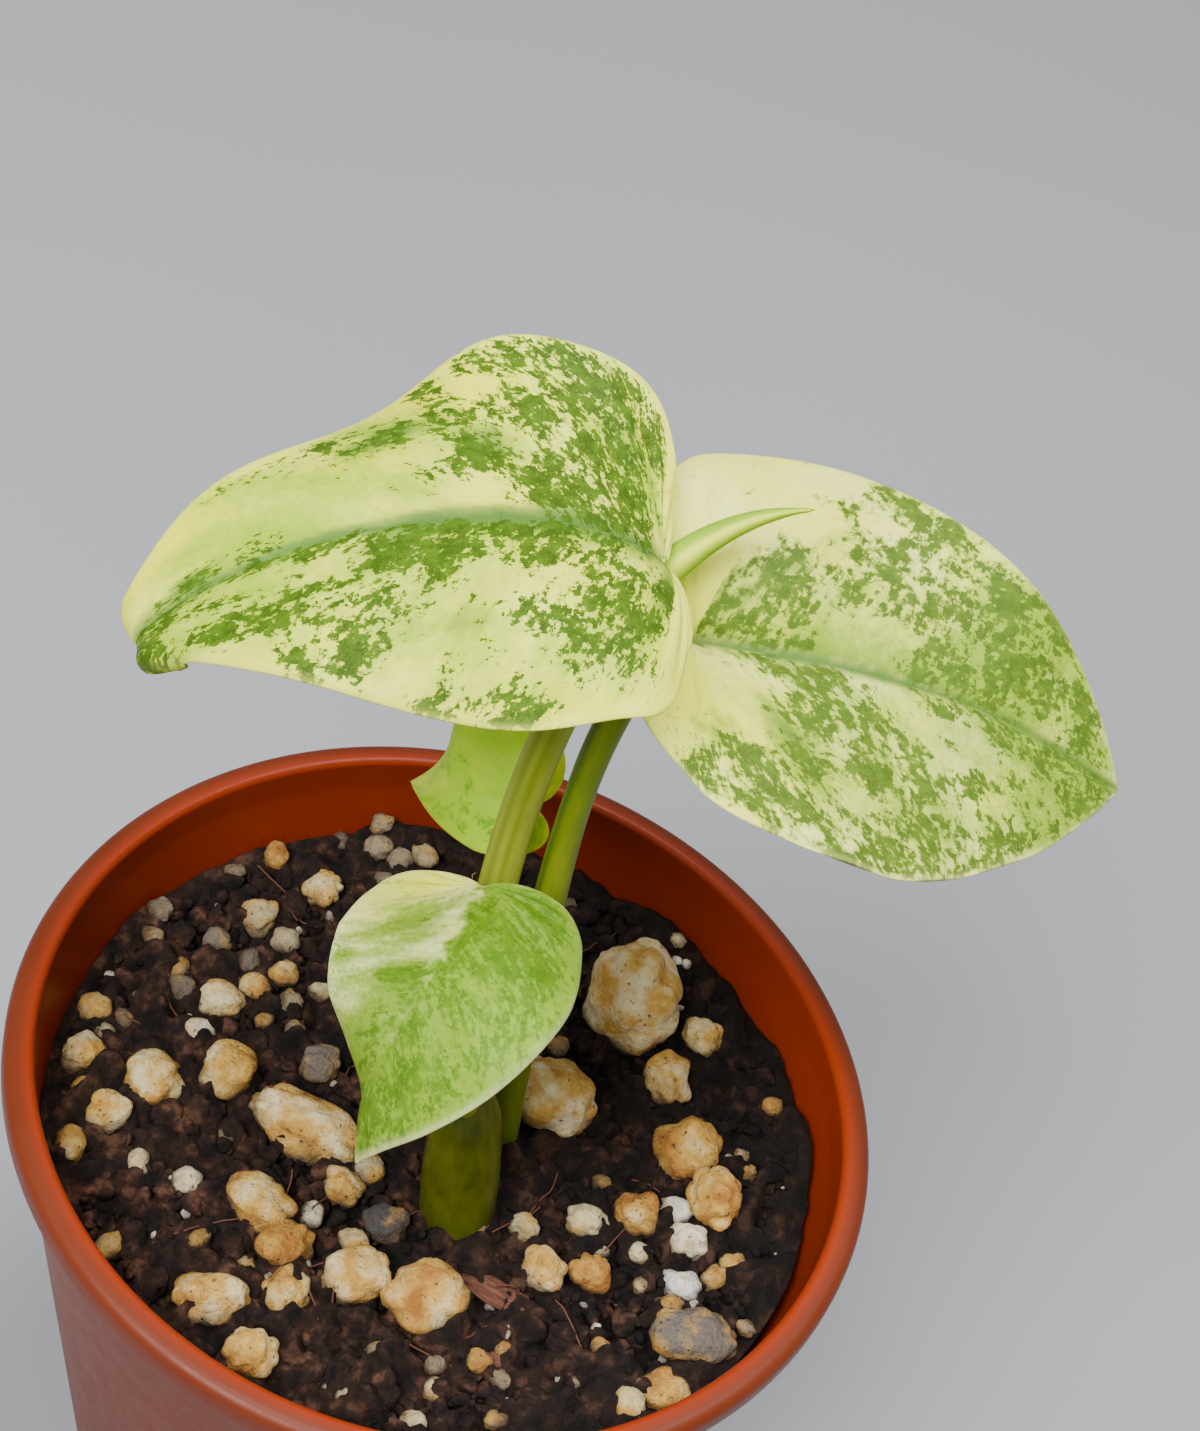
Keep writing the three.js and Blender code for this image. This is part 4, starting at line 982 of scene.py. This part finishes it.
# Soil: the CAD's surface with crumbs and clods, closed below

SOIL_LEVEL, CLOD_HEIGHT = 65.3, 0.55


def soil_top(x, y):
    """How high the solid's gently uneven surface lies."""
    broad = np.sin(0.42 * x + 0.9) * np.cos(0.37 * y - 0.4)
    middle = np.sin(0.71 * x - 0.55 * y + 2.1) * np.cos(0.66 * y + 0.31 * x)
    fine = np.sin(1.3 * x + 0.7 * y) * np.sin(1.15 * y - 0.6 * x + 1.2)
    return SOIL_LEVEL + 0.035 * x - 0.02 * y + CLOD_HEIGHT * (broad + 0.8 * middle + 0.6 * fine)


# clods pushed up against the wall: the way they lie in degrees, their width and their height
BANKS = [(-14, 13, 2.0), (14, 11, 2.8), (34, 9, 1.8), (62, 14, 2.4), (88, 10, 1.6), (112, 12, 2.6),
         (138, 11, 2.0), (160, 9, 2.2), (206, 9, 1.4), (300, 14, 1.2)]


def bank(x, y):
    """How far the soil rises towards the wall."""
    inward = wall_inside(SOIL_LEVEL) - np.hypot(x, y)
    angle = np.degrees(np.arctan2(y, x))
    rise = sum(height * np.exp(-(((angle - way + 180) % 360 - 180) / width) ** 2)
               for way, width, height in BANKS)
    return rise * np.exp(-(np.maximum(inward - 1, 0) / 2.6) ** 1.5)


# composted pine bark, reddish brown and split along its grain, so its streaks run lengthwise
bark_skin = mottled(
    "pine_bark", {"Scale": 1.0, "Detail": 5.0, "Roughness": 0.65},
    [(0.3, "#2c1710"), (0.52, "#5f3421"), (0.72, "#8a5538")], 0.75, (0.4, 0.8), grain=(2.5, 14, 1))
# crushed perlite, fired white glass foam: chalky grey-white grains with dull hollows
perlite_skin = mottled(
    "chalky_perlite", {"Scale": per_mm(2.5), "Detail": 5.0, "Roughness": 0.7},
    [(0.36, "#51453a"), (0.5, "#94897a"), (0.64, "#d2cdc0")], 0.85, (0.3, 0.8))
peat_skin = peat("moist_peat", "#0b0504", "#28170f", "#4c3224", 0.42)


def make_soil(rings=150, segments=300):
    """The mix that fills the pot: a lumpy top, then its side and its underside over the pot's floor."""
    edge = wall_inside(SOIL_LEVEL) - 0.25
    radius = np.linspace(0, edge, rings + 1)
    angle = np.arange(segments) * TAU / segments
    r, a = np.meshgrid(radius, angle, indexing="ij")
    x, y = r * np.cos(a), r * np.sin(a)
    flat = np.stack([x, y, np.zeros_like(x)], -1)
    lumps = 1.5 * np.abs(waves(flat, 4.2, 3)) + 1.0 * np.abs(waves(flat, 2.1, 4)) + 0.4 * waves(flat, 1.0, 5)
    lumps += 0.8 * waves(flat, 13, 8)
    fade = np.clip((edge - r) / 1.2, 0.3, 1)
    z = soil_top(x, y) + bank(x, y) + (lumps - 0.9) * fade
    top = np.stack([x, y, z], -1)
    below = []
    for level, reach in [(z, wall_inside(z) - 0.3) for z in (58, 40, 22, 5, 2.1)] + [
            (2.1, 24.6), (4.4, 22.6), (4.4, 10.4), (2.1, 8), (2.1, 0.0)]:
        below.append(np.stack([reach * np.cos(angle), reach * np.sin(angle), np.full(segments, level)], -1))
    rows = np.concatenate([top, np.array(below)])
    finished("peat_mix", rows.reshape(-1, 3), grid_faces(len(rows), segments, around=True, flip=True),
             peat_skin, ["soil"], weld=0.001)


make_soil()


# Stones, in the same places as the solids, and the smaller grains among them

# place, width, breadth and turn in degrees
STONES = [
    (16.6, 22.6, 8.9, 12.6, 14), (11.3, 6.5, 9.2, 7.4, -25), (25.5, 21.9, 4.2, 4.2, 0),
    (22.9, 14.6, 4.6, 6, 10), (26.5, 6, 6.2, 7, -20), (30.4, 0, 5.2, 6.4, 15),
    (23, -4.2, 4.8, 4.4, 0), (28.6, -5.4, 4, 3.8, 30), (18.3, -6.7, 4.3, 3.7, 0),
    (15.2, -14.4, 4.2, 4.2, 0), (20.1, -13, 4, 3.6, 40), (29.2, -10.6, 3.9, 3.2, 0),
    (31.4, -16.9, 8.2, 5.6, 15), (29.8, -23.2, 5.6, 3.8, 20), (-20.4, 25.6, 4.1, 4.1, 0),
    (-25.9, 19.2, 4.2, 4.2, 25), (-25.8, 6.6, 4.3, 4, 0), (-36.4, -6.1, 3.9, 3.9, 0),
    (-29, -6, 6.4, 6, 35), (-22.2, -2.2, 5.6, 6.2, 0), (-31.7, -11.8, 4.1, 4.1, 50),
    (-12, -5.8, 12, 6, -8), (-13.4, 1.8, 4, 4, 0), (-14, -16.7, 7, 5, -20),
    (-6.6, -11.6, 3.9, 3.7, 0), (-9.9, -20.4, 5, 4.8, 30), (-1.2, -14.5, 4, 4, 0),
    (-8.4, -26, 4, 4.9, 10), (-2.4, -21.6, 6.6, 5.2, 25), (5, -21.7, 7.4, 7, -30),
    (-14.8, -29, 6.6, 5.2, 15), (-9.6, -33.6, 5, 4.6, 0),
]
# tone from 0 dark grey over 0.2 grey to 0.6 cream and 1 white, and ochre stain from 0 to 1
STONE_TINTS = [
    (0.63, 0.36), (0.7, 0.45), (0.5, 0.4), (0.55, 0.5), (0.6, 0.85), (0.6, 0.75), (0.62, 0.9), (0.8, 0.3),
    (0.65, 0.2), (0.6, 0.45), (0.5, 0.95), (1.0, 0.0), (0.17, 0.3), (0.55, 0.8), (0.5, 0.6), (0.4, 0.3),
    (0.55, 0.5), (0.45, 0.4), (0.55, 0.5), (0.5, 0.7), (0.5, 0.4), (0.6, 0.55), (0.2, 0.1), (0.6, 0.6),
    (0.62, 0.7), (0.55, 0.8), (0.02, 0.0), (0.6, 0.5), (0.65, 0.5), (0.6, 0.75), (0.6, 0.55), (0.6, 0.6),
]
# place, size, tone and stain of the smaller ones
GRAINS = [
    (8.3, 11, 3.3, 0.6, 0.3), (27.2, -1.9, 3.4, 0.9, 0.2), (12.3, -9.9, 3.2, 0.5, 0.4),
    (32.4, -8.6, 3, 0.6, 0.9), (34.4, -6.1, 2.8, 0.6, 0.5), (28.7, -13.4, 2.9, 0.6, 0.8),
    (26.8, -26.6, 3.4, 0.5, 0.4), (-26.6, 28, 3.3, 0.5, 0.8), (-28.8, 14.6, 3.1, 0.22, 0.1),
    (-21.9, 17.7, 3.2, 0.4, 0.2), (-37.9, 0.8, 3.4, 0.6, 0.6), (-22.8, 9.6, 3.4, 0.6, 0.6),
    (-26.5, 1.5, 3.4, 0.8, 0.1), (-33.8, -16.8, 3.6, 0.55, 0.6), (-21.5, -16.4, 3.3, 0.75, 0.05),
    (-8.6, -15.6, 2.9, 0.85, 0.1), (-3.6, -17.6, 3.3, 0.5, 0.3), (-26, -26.3, 3, 0.45, 0.7),
    (-4.6, -8.8, 3.4, 0.4, 0.15), (10.4, 14.2, 2.2, 0.3, 0.2), (20.6, 9.4, 2.4, 0.6, 0.5),
    (18.8, -1.2, 2.2, 0.2, 0.1), (24.4, -8.8, 2.2, 0.7, 0.1), (33.2, 5.8, 2.4, 0.45, 0.7),
    (-16.2, 12.4, 2.6, 0.5, 0.3), (-31.4, 9.6, 2.4, 0.3, 0.2), (-33.6, 4.4, 2.2, 0.6, 0.5),
    (-19.4, -9.6, 2, 0.2, 0.1), (-26.8, -16.2, 2.6, 0.7, 0.1), (-18.2, -22.6, 2.2, 0.45, 0.7),
    (-12.8, -23.6, 2.4, 0.5, 0.3), (1.8, -28.6, 2.2, 0.3, 0.2), (8.6, -30.4, 2.6, 0.6, 0.5),
    (14.8, -32.2, 2.4, 0.2, 0.1), (18.6, -27.6, 1.8, 0.7, 0.1), (22.8, -20.4, 2, 0.45, 0.7),
    (-30.2, 24.4, 2.4, 0.25, 0.1), (-14.4, 30.8, 2.4, 0.3, 0.2), (-4.2, 34.6, 2.2, 0.6, 0.5),
    (6.8, 35.2, 2.6, 0.2, 0.1), (19.8, 33.4, 2, 0.7, 0.1), (34.6, 14.8, 2.2, 0.45, 0.7),
    (-24.6, 13.2, 2.8, 0.2, 0), (-17.2, 6.2, 2.2, 0.35, 0.1), (-35.4, 11.8, 2.6, 0.35, 0.3),
    (-35.8, 15, 2.9, 0.25, 0.1), (-20.4, 12.5, 3.1, 0.5, 0.6), (-30.3, 6.9, 3, 0.22, 0.1),
    (-18.8, 9.2, 2.4, 0.35, 0.1), (-20.6, 6, 2.1, 0.45, 0.7), (-34.6, 1.2, 2.7, 0.2, 0.1),
    (-35.7, -1.8, 2.3, 0.4, 0.1), (-16.6, 36.2, 2.8, 0.3, 0.4), (-16.1, 34, 3.5, 0.35, 0.1),
    (-13.5, 33.6, 2.8, 0.35, 0.1), (-10.8, 35, 3.2, 0.4, 0.4), (-20.4, 33.9, 2.3, 0.2, 0.05),
    (-34.8, -9.9, 2.7, 0.25, 0.5), (20.4, -9.6, 1.8, 0.7, 0), (25.2, -12.2, 1.6, 0.6, 0),
    (-1.3, -33.8, 1.5, 0.7, 0), (0.4, -34.4, 1.9, 0.7, 0.05), (-2.7, -33.2, 1.3, 0.7, 0),
    (7.4, -34.8, 2.8, 0.6, 0.1), (14.1, -27.6, 2.1, 0.35, 0.05), (7.7, -28.4, 1.9, 0.3, 0),
    (17.9, -30.8, 2.3, 0.5, 0.5), (11.6, -26.5, 2.5, 0.45, 0.9), (13.8, -24.2, 2, 0.4, 0.9),
    (31.4, 6.6, 1.7, 0.6, 0), (32.7, 8.5, 1.7, 0.7, 0), (18.9, 10.1, 1.9, 0.5, 0.1),
    (20, 12.8, 1.7, 0.5, 0.1), (7.4, -11.4, 2.6, 0.3, 0.4), (21.3, -25.4, 1.2, 0.7, 0),
    (36.5, -14, 2, 0.35, 0.3),
]


def sphere(detail):
    """The points and faces of a ball."""
    shape = bmesh.new()
    bmesh.ops.create_icosphere(shape, subdivisions=detail, radius=1)
    points = np.array([v.co[:] for v in shape.verts])
    faces = [[v.index for v in f.verts] for f in shape.faces]
    shape.free()
    return points, faces


BALL, BALL_FACES = sphere(4)
SMALL_BALL, SMALL_BALL_FACES = sphere(3)
STANDING = {1: 1.5, 2: 1.12, 12: 0.9, 13: 0.85}  # how much taller some stones stand than they are thick
CENTRE_RISE = 0.3  # how far a stone's middle lies above the soil, as a share of its height


def stone_shape(x, y, width, breadth, turn, seed, ball, rise=1.0):
    """A blocky, pitted stone that lies in the soil's surface."""
    block = ball / (np.abs(ball) ** 2.2).sum(axis=1, keepdims=True) ** (1 / 2.2)
    low = 0.1 * waves(ball, 0.9, seed) + 0.16 * np.abs(waves(ball, 0.6, seed + 50)) - 0.07
    pits = 0.035 * np.abs(waves(ball, 0.22, seed + 90)) + 0.012 * waves(ball, 0.12, seed + 130) - 0.015
    block = block * (0.97 + low + pits)[:, None]
    height = 0.84 * min(width, breadth) * rise
    block = block * np.array([width, breadth, height]) * 0.54
    return spun(block, turn) + np.array([x, y, float(soil_top(x, y) + bank(x, y)) + CENTRE_RISE * height])


def foot_of(shape):
    """1 where a stone meets the soil, falling off above it."""
    above = shape[:, 2] - soil_top(shape[:, 0], shape[:, 1]) - bank(shape[:, 0], shape[:, 1])
    return np.exp(-np.maximum(above - 0.4, 0) / 1.3)


pumice_skin = pumice()
for number, (spec, (tone, stain)) in enumerate(zip(STONES, STONE_TINTS), 1):
    shape = stone_shape(*spec, seed=number, ball=BALL, rise=STANDING.get(number, 1.0))
    finished(f"pumice_{number:02d}", shape, BALL_FACES, pumice_skin, [f"stone_{number:02d}"],
             {"tone": np.full(len(shape), tone), "stain": np.full(len(shape), stain),
              "foot": foot_of(shape)})

dice = np.random.default_rng(11)
grain_verts, grain_faces, grain_tone, grain_stain, grain_foot = [], [], [], [], []
for number, (x, y, size, tone, stain) in enumerate(GRAINS):
    shape = stone_shape(x, y, size, size * dice.uniform(0.75, 1), dice.uniform(0, 360), 200 + number,
                        SMALL_BALL)
    grain_faces += [[i + len(grain_verts) for i in face] for face in SMALL_BALL_FACES]
    grain_verts += list(shape)
    grain_tone += [tone] * len(shape)
    grain_stain += [stain] * len(shape)
    grain_foot += list(foot_of(shape))
finished("small_pumice_grains", grain_verts, grain_faces, pumice_skin, (),
         {"tone": grain_tone, "stain": grain_stain, "foot": grain_foot})


# Bark chips

# place, length, width, thickness and turn in degrees
CHIPS = [(10.2, -17.6, 9.5, 3.2, 1.7, -14), (12.4, -26, 5, 2.4, 1.4, 30)]


def make_chip(number, x, y, length, width, thickness, turn):
    """A split chip that lies in the soil's surface, blunt at its ends and rough along its grain."""
    around, along = 40, 50
    t = np.linspace(0, 1, along + 1)
    angle = np.arange(around) * TAU / around
    swell = np.clip(np.minimum(t, 1 - t) / 0.06, 0, 1) ** 0.5
    ring = np.stack([np.sign(way) * np.abs(way) ** 0.7 for way in (np.cos(angle), np.sin(angle))], -1)
    body = np.empty((along + 1, around, 3))
    body[..., 0] = ((t - 0.5) * length)[:, None]
    body[..., 1] = ring[None, :, 0] * width / 2 * (0.75 + 0.25 * swell)[:, None]
    body[..., 2] = ring[None, :, 1] * thickness / 2 * (0.7 + 0.3 * swell)[:, None]
    rough = waves(body * np.array([0.35, 1.6, 1.6]), 1.0, 300 + number)
    body[..., 1:] *= (0.9 + 0.1 * rough)[..., None]
    grain = np.stack(np.broadcast_arrays(t[:, None] * length / 4, angle[None] / TAU * 2), -1).reshape(-1, 2)
    grain = np.concatenate([grain, [[0, 0.5], [length / 4, 0.5]]])
    verts = np.concatenate([body.reshape(-1, 3), [[-length / 2, 0, 0], [length / 2, 0, 0]]])
    verts = spun(verts, turn) + np.array([x, y, float(soil_top(x, y)) + 0.3 * thickness])
    finished(f"bark_chip_{number}_split", verts, tube_faces(along, around), bark_skin,
             [f"bark_chip_{number}"], maps={"grain": grain}, weld=0.001)


for number, spec in enumerate(CHIPS, 1):
    make_chip(number, *spec)


# Crumbs and fibres scattered on the soil by Geometry Nodes

def new_tree(name, sizes):
    """A Geometry Nodes tree with the sizes as its inputs, what it is given, and each input's socket."""
    tree = bpy.data.node_groups.new(name, "GeometryNodeTree")
    tree.interface.new_socket("Geometry", in_out="INPUT", socket_type="NodeSocketGeometry")
    sockets = {}
    for label, value in sizes.items():
        kind = "NodeSocketInt" if isinstance(value, int) else "NodeSocketFloat"
        socket = tree.interface.new_socket(label, in_out="INPUT", socket_type=kind)
        socket.default_value = value
        sockets[label] = socket.identifier
    tree.interface.new_socket("Geometry", in_out="OUTPUT", socket_type="NodeSocketGeometry")
    return tree, add(tree, "NodeGroupInput").outputs, sockets


def spread(tree, given, piece, spin, size):
    """Copies of a piece on random places of the ground, made real."""
    points = add(tree, "GeometryNodeDistributePointsOnFaces", {
        "Mesh": given["Geometry"], "Density": given["Per square metre"], "Seed": given["Seed"]})
    copies = add(tree, "GeometryNodeInstanceOnPoints", {
        "Points": points.outputs["Points"], "Instance": piece, "Rotation": spin, "Scale": size})
    return add(tree, "GeometryNodeRealizeInstances", {
        "Geometry": copies.outputs["Instances"]}).outputs["Geometry"]


def shaken(tree, shape, swing, size, detail, middle):
    """The shape with each of its points moved by up to about half of swing, in swells of size millimetres."""
    place = add(tree, "GeometryNodeInputPosition").outputs["Position"]
    move = add(tree, "ShaderNodeTexNoise", {
        "Vector": place, "Scale": per_mm(size), "Detail": detail}).outputs["Color"]
    move = add(tree, "ShaderNodeVectorMath", {0: move, 1: middle}, operation="SUBTRACT").outputs["Vector"]
    move = add(tree, "ShaderNodeVectorMath", {0: move, "Scale": swing}, operation="SCALE").outputs["Vector"]
    return add(tree, "GeometryNodeSetPosition", {"Geometry": shape, "Offset": move}).outputs["Geometry"]


def crumb_tree():
    """Lumps of peat strewn over the ground, each a rough ball pressed flat."""
    tree, given, sockets = new_tree("peat_crumbs", {
        "Per square metre": 1.0, "Smallest": 0.001, "Largest": 0.002, "Roughness": 0.001, "Segments": 8,
        "Rings": 6, "Seed": 1})
    ball = add(tree, "GeometryNodeMeshUVSphere", {
        "Radius": 0.5, "Segments": given["Segments"], "Rings": given["Rings"]}).outputs["Mesh"]
    spin = add(tree, "FunctionNodeRandomValue", {
        "Max": (TAU, TAU, TAU), "Seed": given["Seed"]}, data_type="FLOAT_VECTOR").outputs["Value"]
    size = add(tree, "FunctionNodeRandomValue", {
        2: given["Smallest"], 3: given["Largest"], "Seed": given["Seed"]}).outputs[1]
    shape = add(tree, "FunctionNodeRandomValue", {
        "Min": (0.7, 0.6, 0.5), "Max": (1.3, 1.1, 0.9), "Seed": given["Seed"]},
        data_type="FLOAT_VECTOR").outputs["Value"]
    size = add(tree, "ShaderNodeVectorMath", {0: shape, "Scale": size}, operation="SCALE").outputs["Vector"]
    lumps = spread(tree, given, ball, spin, size)
    return tree, sockets, shaken(tree, lumps, given["Roughness"], 1.6, 2.0, (0.5, 0.5, 0.5))


def fibre_tree():
    """Thin root fibres and straws that lie bent on the ground."""
    tree, given, sockets = new_tree("peat_fibres", {
        "Per square metre": 1.0, "Shortest": 0.003, "Longest": 0.01, "Thickness": 0.0001,
        "Bend": 0.002, "Seed": 1})
    line = add(tree, "GeometryNodeMeshLine", {
        "Count": 12, "Start Location": (-0.5, 0, 0), "Offset": (1 / 11, 0, 0)}).outputs["Mesh"]
    line = add(tree, "GeometryNodeMeshToCurve", {"Mesh": line}).outputs["Curve"]
    spin = add(tree, "FunctionNodeRandomValue", {
        "Min": (-0.25, -0.25, 0.0), "Max": (0.25, 0.25, TAU), "Seed": given["Seed"]},
        data_type="FLOAT_VECTOR").outputs["Value"]
    size = add(tree, "FunctionNodeRandomValue", {
        2: given["Shortest"], 3: given["Longest"], "Seed": given["Seed"]}).outputs[1]
    lines = shaken(tree, spread(tree, given, line, spin, size), given["Bend"], 5.0, 1.0, (0.5, 0.5, 0.3))
    outline = add(tree, "GeometryNodeCurvePrimitiveCircle", {
        "Resolution": 5, "Radius": given["Thickness"]}, mode="RADIUS").outputs["Curve"]
    return tree, sockets, add(tree, "GeometryNodeCurveToMesh", {
        "Curve": lines, "Profile Curve": outline, "Fill Caps": True}).outputs["Mesh"]


def strew(name, made, sizes, ground, skin):
    """Runs a scattering tree on the ground and keeps the result as a plain piece."""
    tree, sockets, shape = made
    for kind, inputs in (("GeometryNodeRealizeInstances", {}),
                         ("GeometryNodeSetMaterial", {"Material": skin}),
                         ("GeometryNodeSetShadeSmooth", {})):
        shape = add(tree, kind, {"Geometry": shape, **inputs}).outputs["Geometry"]
    add(tree, "NodeGroupOutput", {"Geometry": shape})
    holder = bpy.data.objects.new(name + "_ground", ground)
    bpy.context.scene.collection.objects.link(holder)
    modifier = holder.modifiers.new("strew", "NODES")
    modifier.node_group = tree
    for label, value in sizes.items():
        modifier[sockets[label]] = value
    bpy.context.view_layer.update()
    ready = holder.evaluated_get(bpy.context.evaluated_depsgraph_get())
    mesh = bpy.data.meshes.new_from_object(ready)
    bpy.data.objects.remove(holder)
    bpy.data.node_groups.remove(tree)
    mesh.name = name
    piece = bpy.data.objects.new(name, mesh)
    bpy.context.scene.collection.objects.link(piece)
    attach(piece, "root")


def soil_ground(gap, rings=60, segments=120):
    """The soil's surface up to a gap from the wall, where crumbs may lie."""
    radius = np.linspace(0.5, wall_inside(SOIL_LEVEL) - gap, rings)
    angle = np.arange(segments) * TAU / segments
    r, a = np.meshgrid(radius, angle, indexing="ij")
    x, y = r * np.cos(a), r * np.sin(a)
    verts = np.stack([x, y, soil_top(x, y) + bank(x, y) + 0.1], -1).reshape(-1, 3) * MM
    mesh = bpy.data.meshes.new("ground")
    mesh.from_pydata(verts.tolist(), [], grid_faces(rings, segments, around=True))
    return mesh


ground = soil_ground(2.2)
crumb_skin = peat("peat_crumb", "#0c0605", "#2c1a12", "#5c3c2c", 0.4)
strew("peat_crumbs_coarse", crumb_tree(), {
    "Per square metre": 190000.0, "Smallest": 0.001, "Largest": 0.0036, "Roughness": 0.0026, "Segments": 8,
    "Rings": 6, "Seed": 5}, ground, crumb_skin)
strew("peat_crumbs_fine", crumb_tree(), {
    "Per square metre": 560000.0, "Smallest": 0.0004, "Largest": 0.0016, "Roughness": 0.0012, "Segments": 6,
    "Rings": 4, "Seed": 9}, ground, peat_skin)
strew("perlite_grains", crumb_tree(), {
    "Per square metre": 20000.0, "Smallest": 0.0004, "Largest": 0.0016, "Roughness": 0.001, "Segments": 8,
    "Rings": 6, "Seed": 21}, ground, perlite_skin)
strew("peat_fibres", fibre_tree(), {
    "Per square metre": 9000.0, "Shortest": 0.003, "Longest": 0.008, "Thickness": 0.0001, "Bend": 0.004,
    "Seed": 4}, soil_ground(6.5), bark_skin)


# Roots keep their solid

# living root: waxy cream skin, browned in patches and finely wrinkled
root_skin = mottled(
    "fleshy_root", {"Scale": per_mm(4.0), "Detail": 4.0, "Roughness": 0.6},
    [(0.35, "#a8935f"), (0.5, "#c2ae80"), (0.65, "#d8c9a0")], 0.6, (0.15, 0.6),
    own={"Scale": per_mm(0.6), "Detail": 3.0})
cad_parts["roots"].data.materials.clear()
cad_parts["roots"].data.materials.append(root_skin)


# Floor and light

floor_mesh = bpy.data.meshes.new("floor")
floor_mesh.from_pydata([(-4, -4, 0), (4, -4, 0), (4, 4, 0), (-4, 4, 0)], [], [(0, 1, 2, 3)])
# matt pale grey board, a little cloudy
floor_mesh.materials.append(mottled(
    "studio_board", {"Scale": 3.0, "Detail": 2.0}, [(0.3, "#989a9d"), (0.7, "#9ea0a3")], 0.9))
floor = bpy.data.objects.new("floor", floor_mesh)
bpy.context.scene.collection.objects.link(floor)


LIT_PLACE = Vector((0, 0, 0.08))


def soft_light(name, place, size, power):
    """A round white softbox that faces the leaves."""
    light = bpy.data.objects.new(name, bpy.data.lights.new(name, "AREA"))
    light.data.shape = "DISK"
    light.data.size = size
    light.data.energy = power
    light.location = place
    light.rotation_euler = (LIT_PLACE - Vector(place)).to_track_quat("-Z", "Y").to_euler()
    bpy.context.scene.collection.objects.link(light)


soft_light("window", (0.16, 0.06, 0.98), 0.6, 10)
soft_light("front", (-0.26, -0.5, 0.78), 0.5, 11.5)

world = bpy.data.worlds.new("studio")
world.use_nodes = True
world.node_tree.nodes["Background"].inputs["Color"].default_value = srgb("#f4f6f8")
world.node_tree.nodes["Background"].inputs["Strength"].default_value = 0.38
bpy.context.scene.world = world
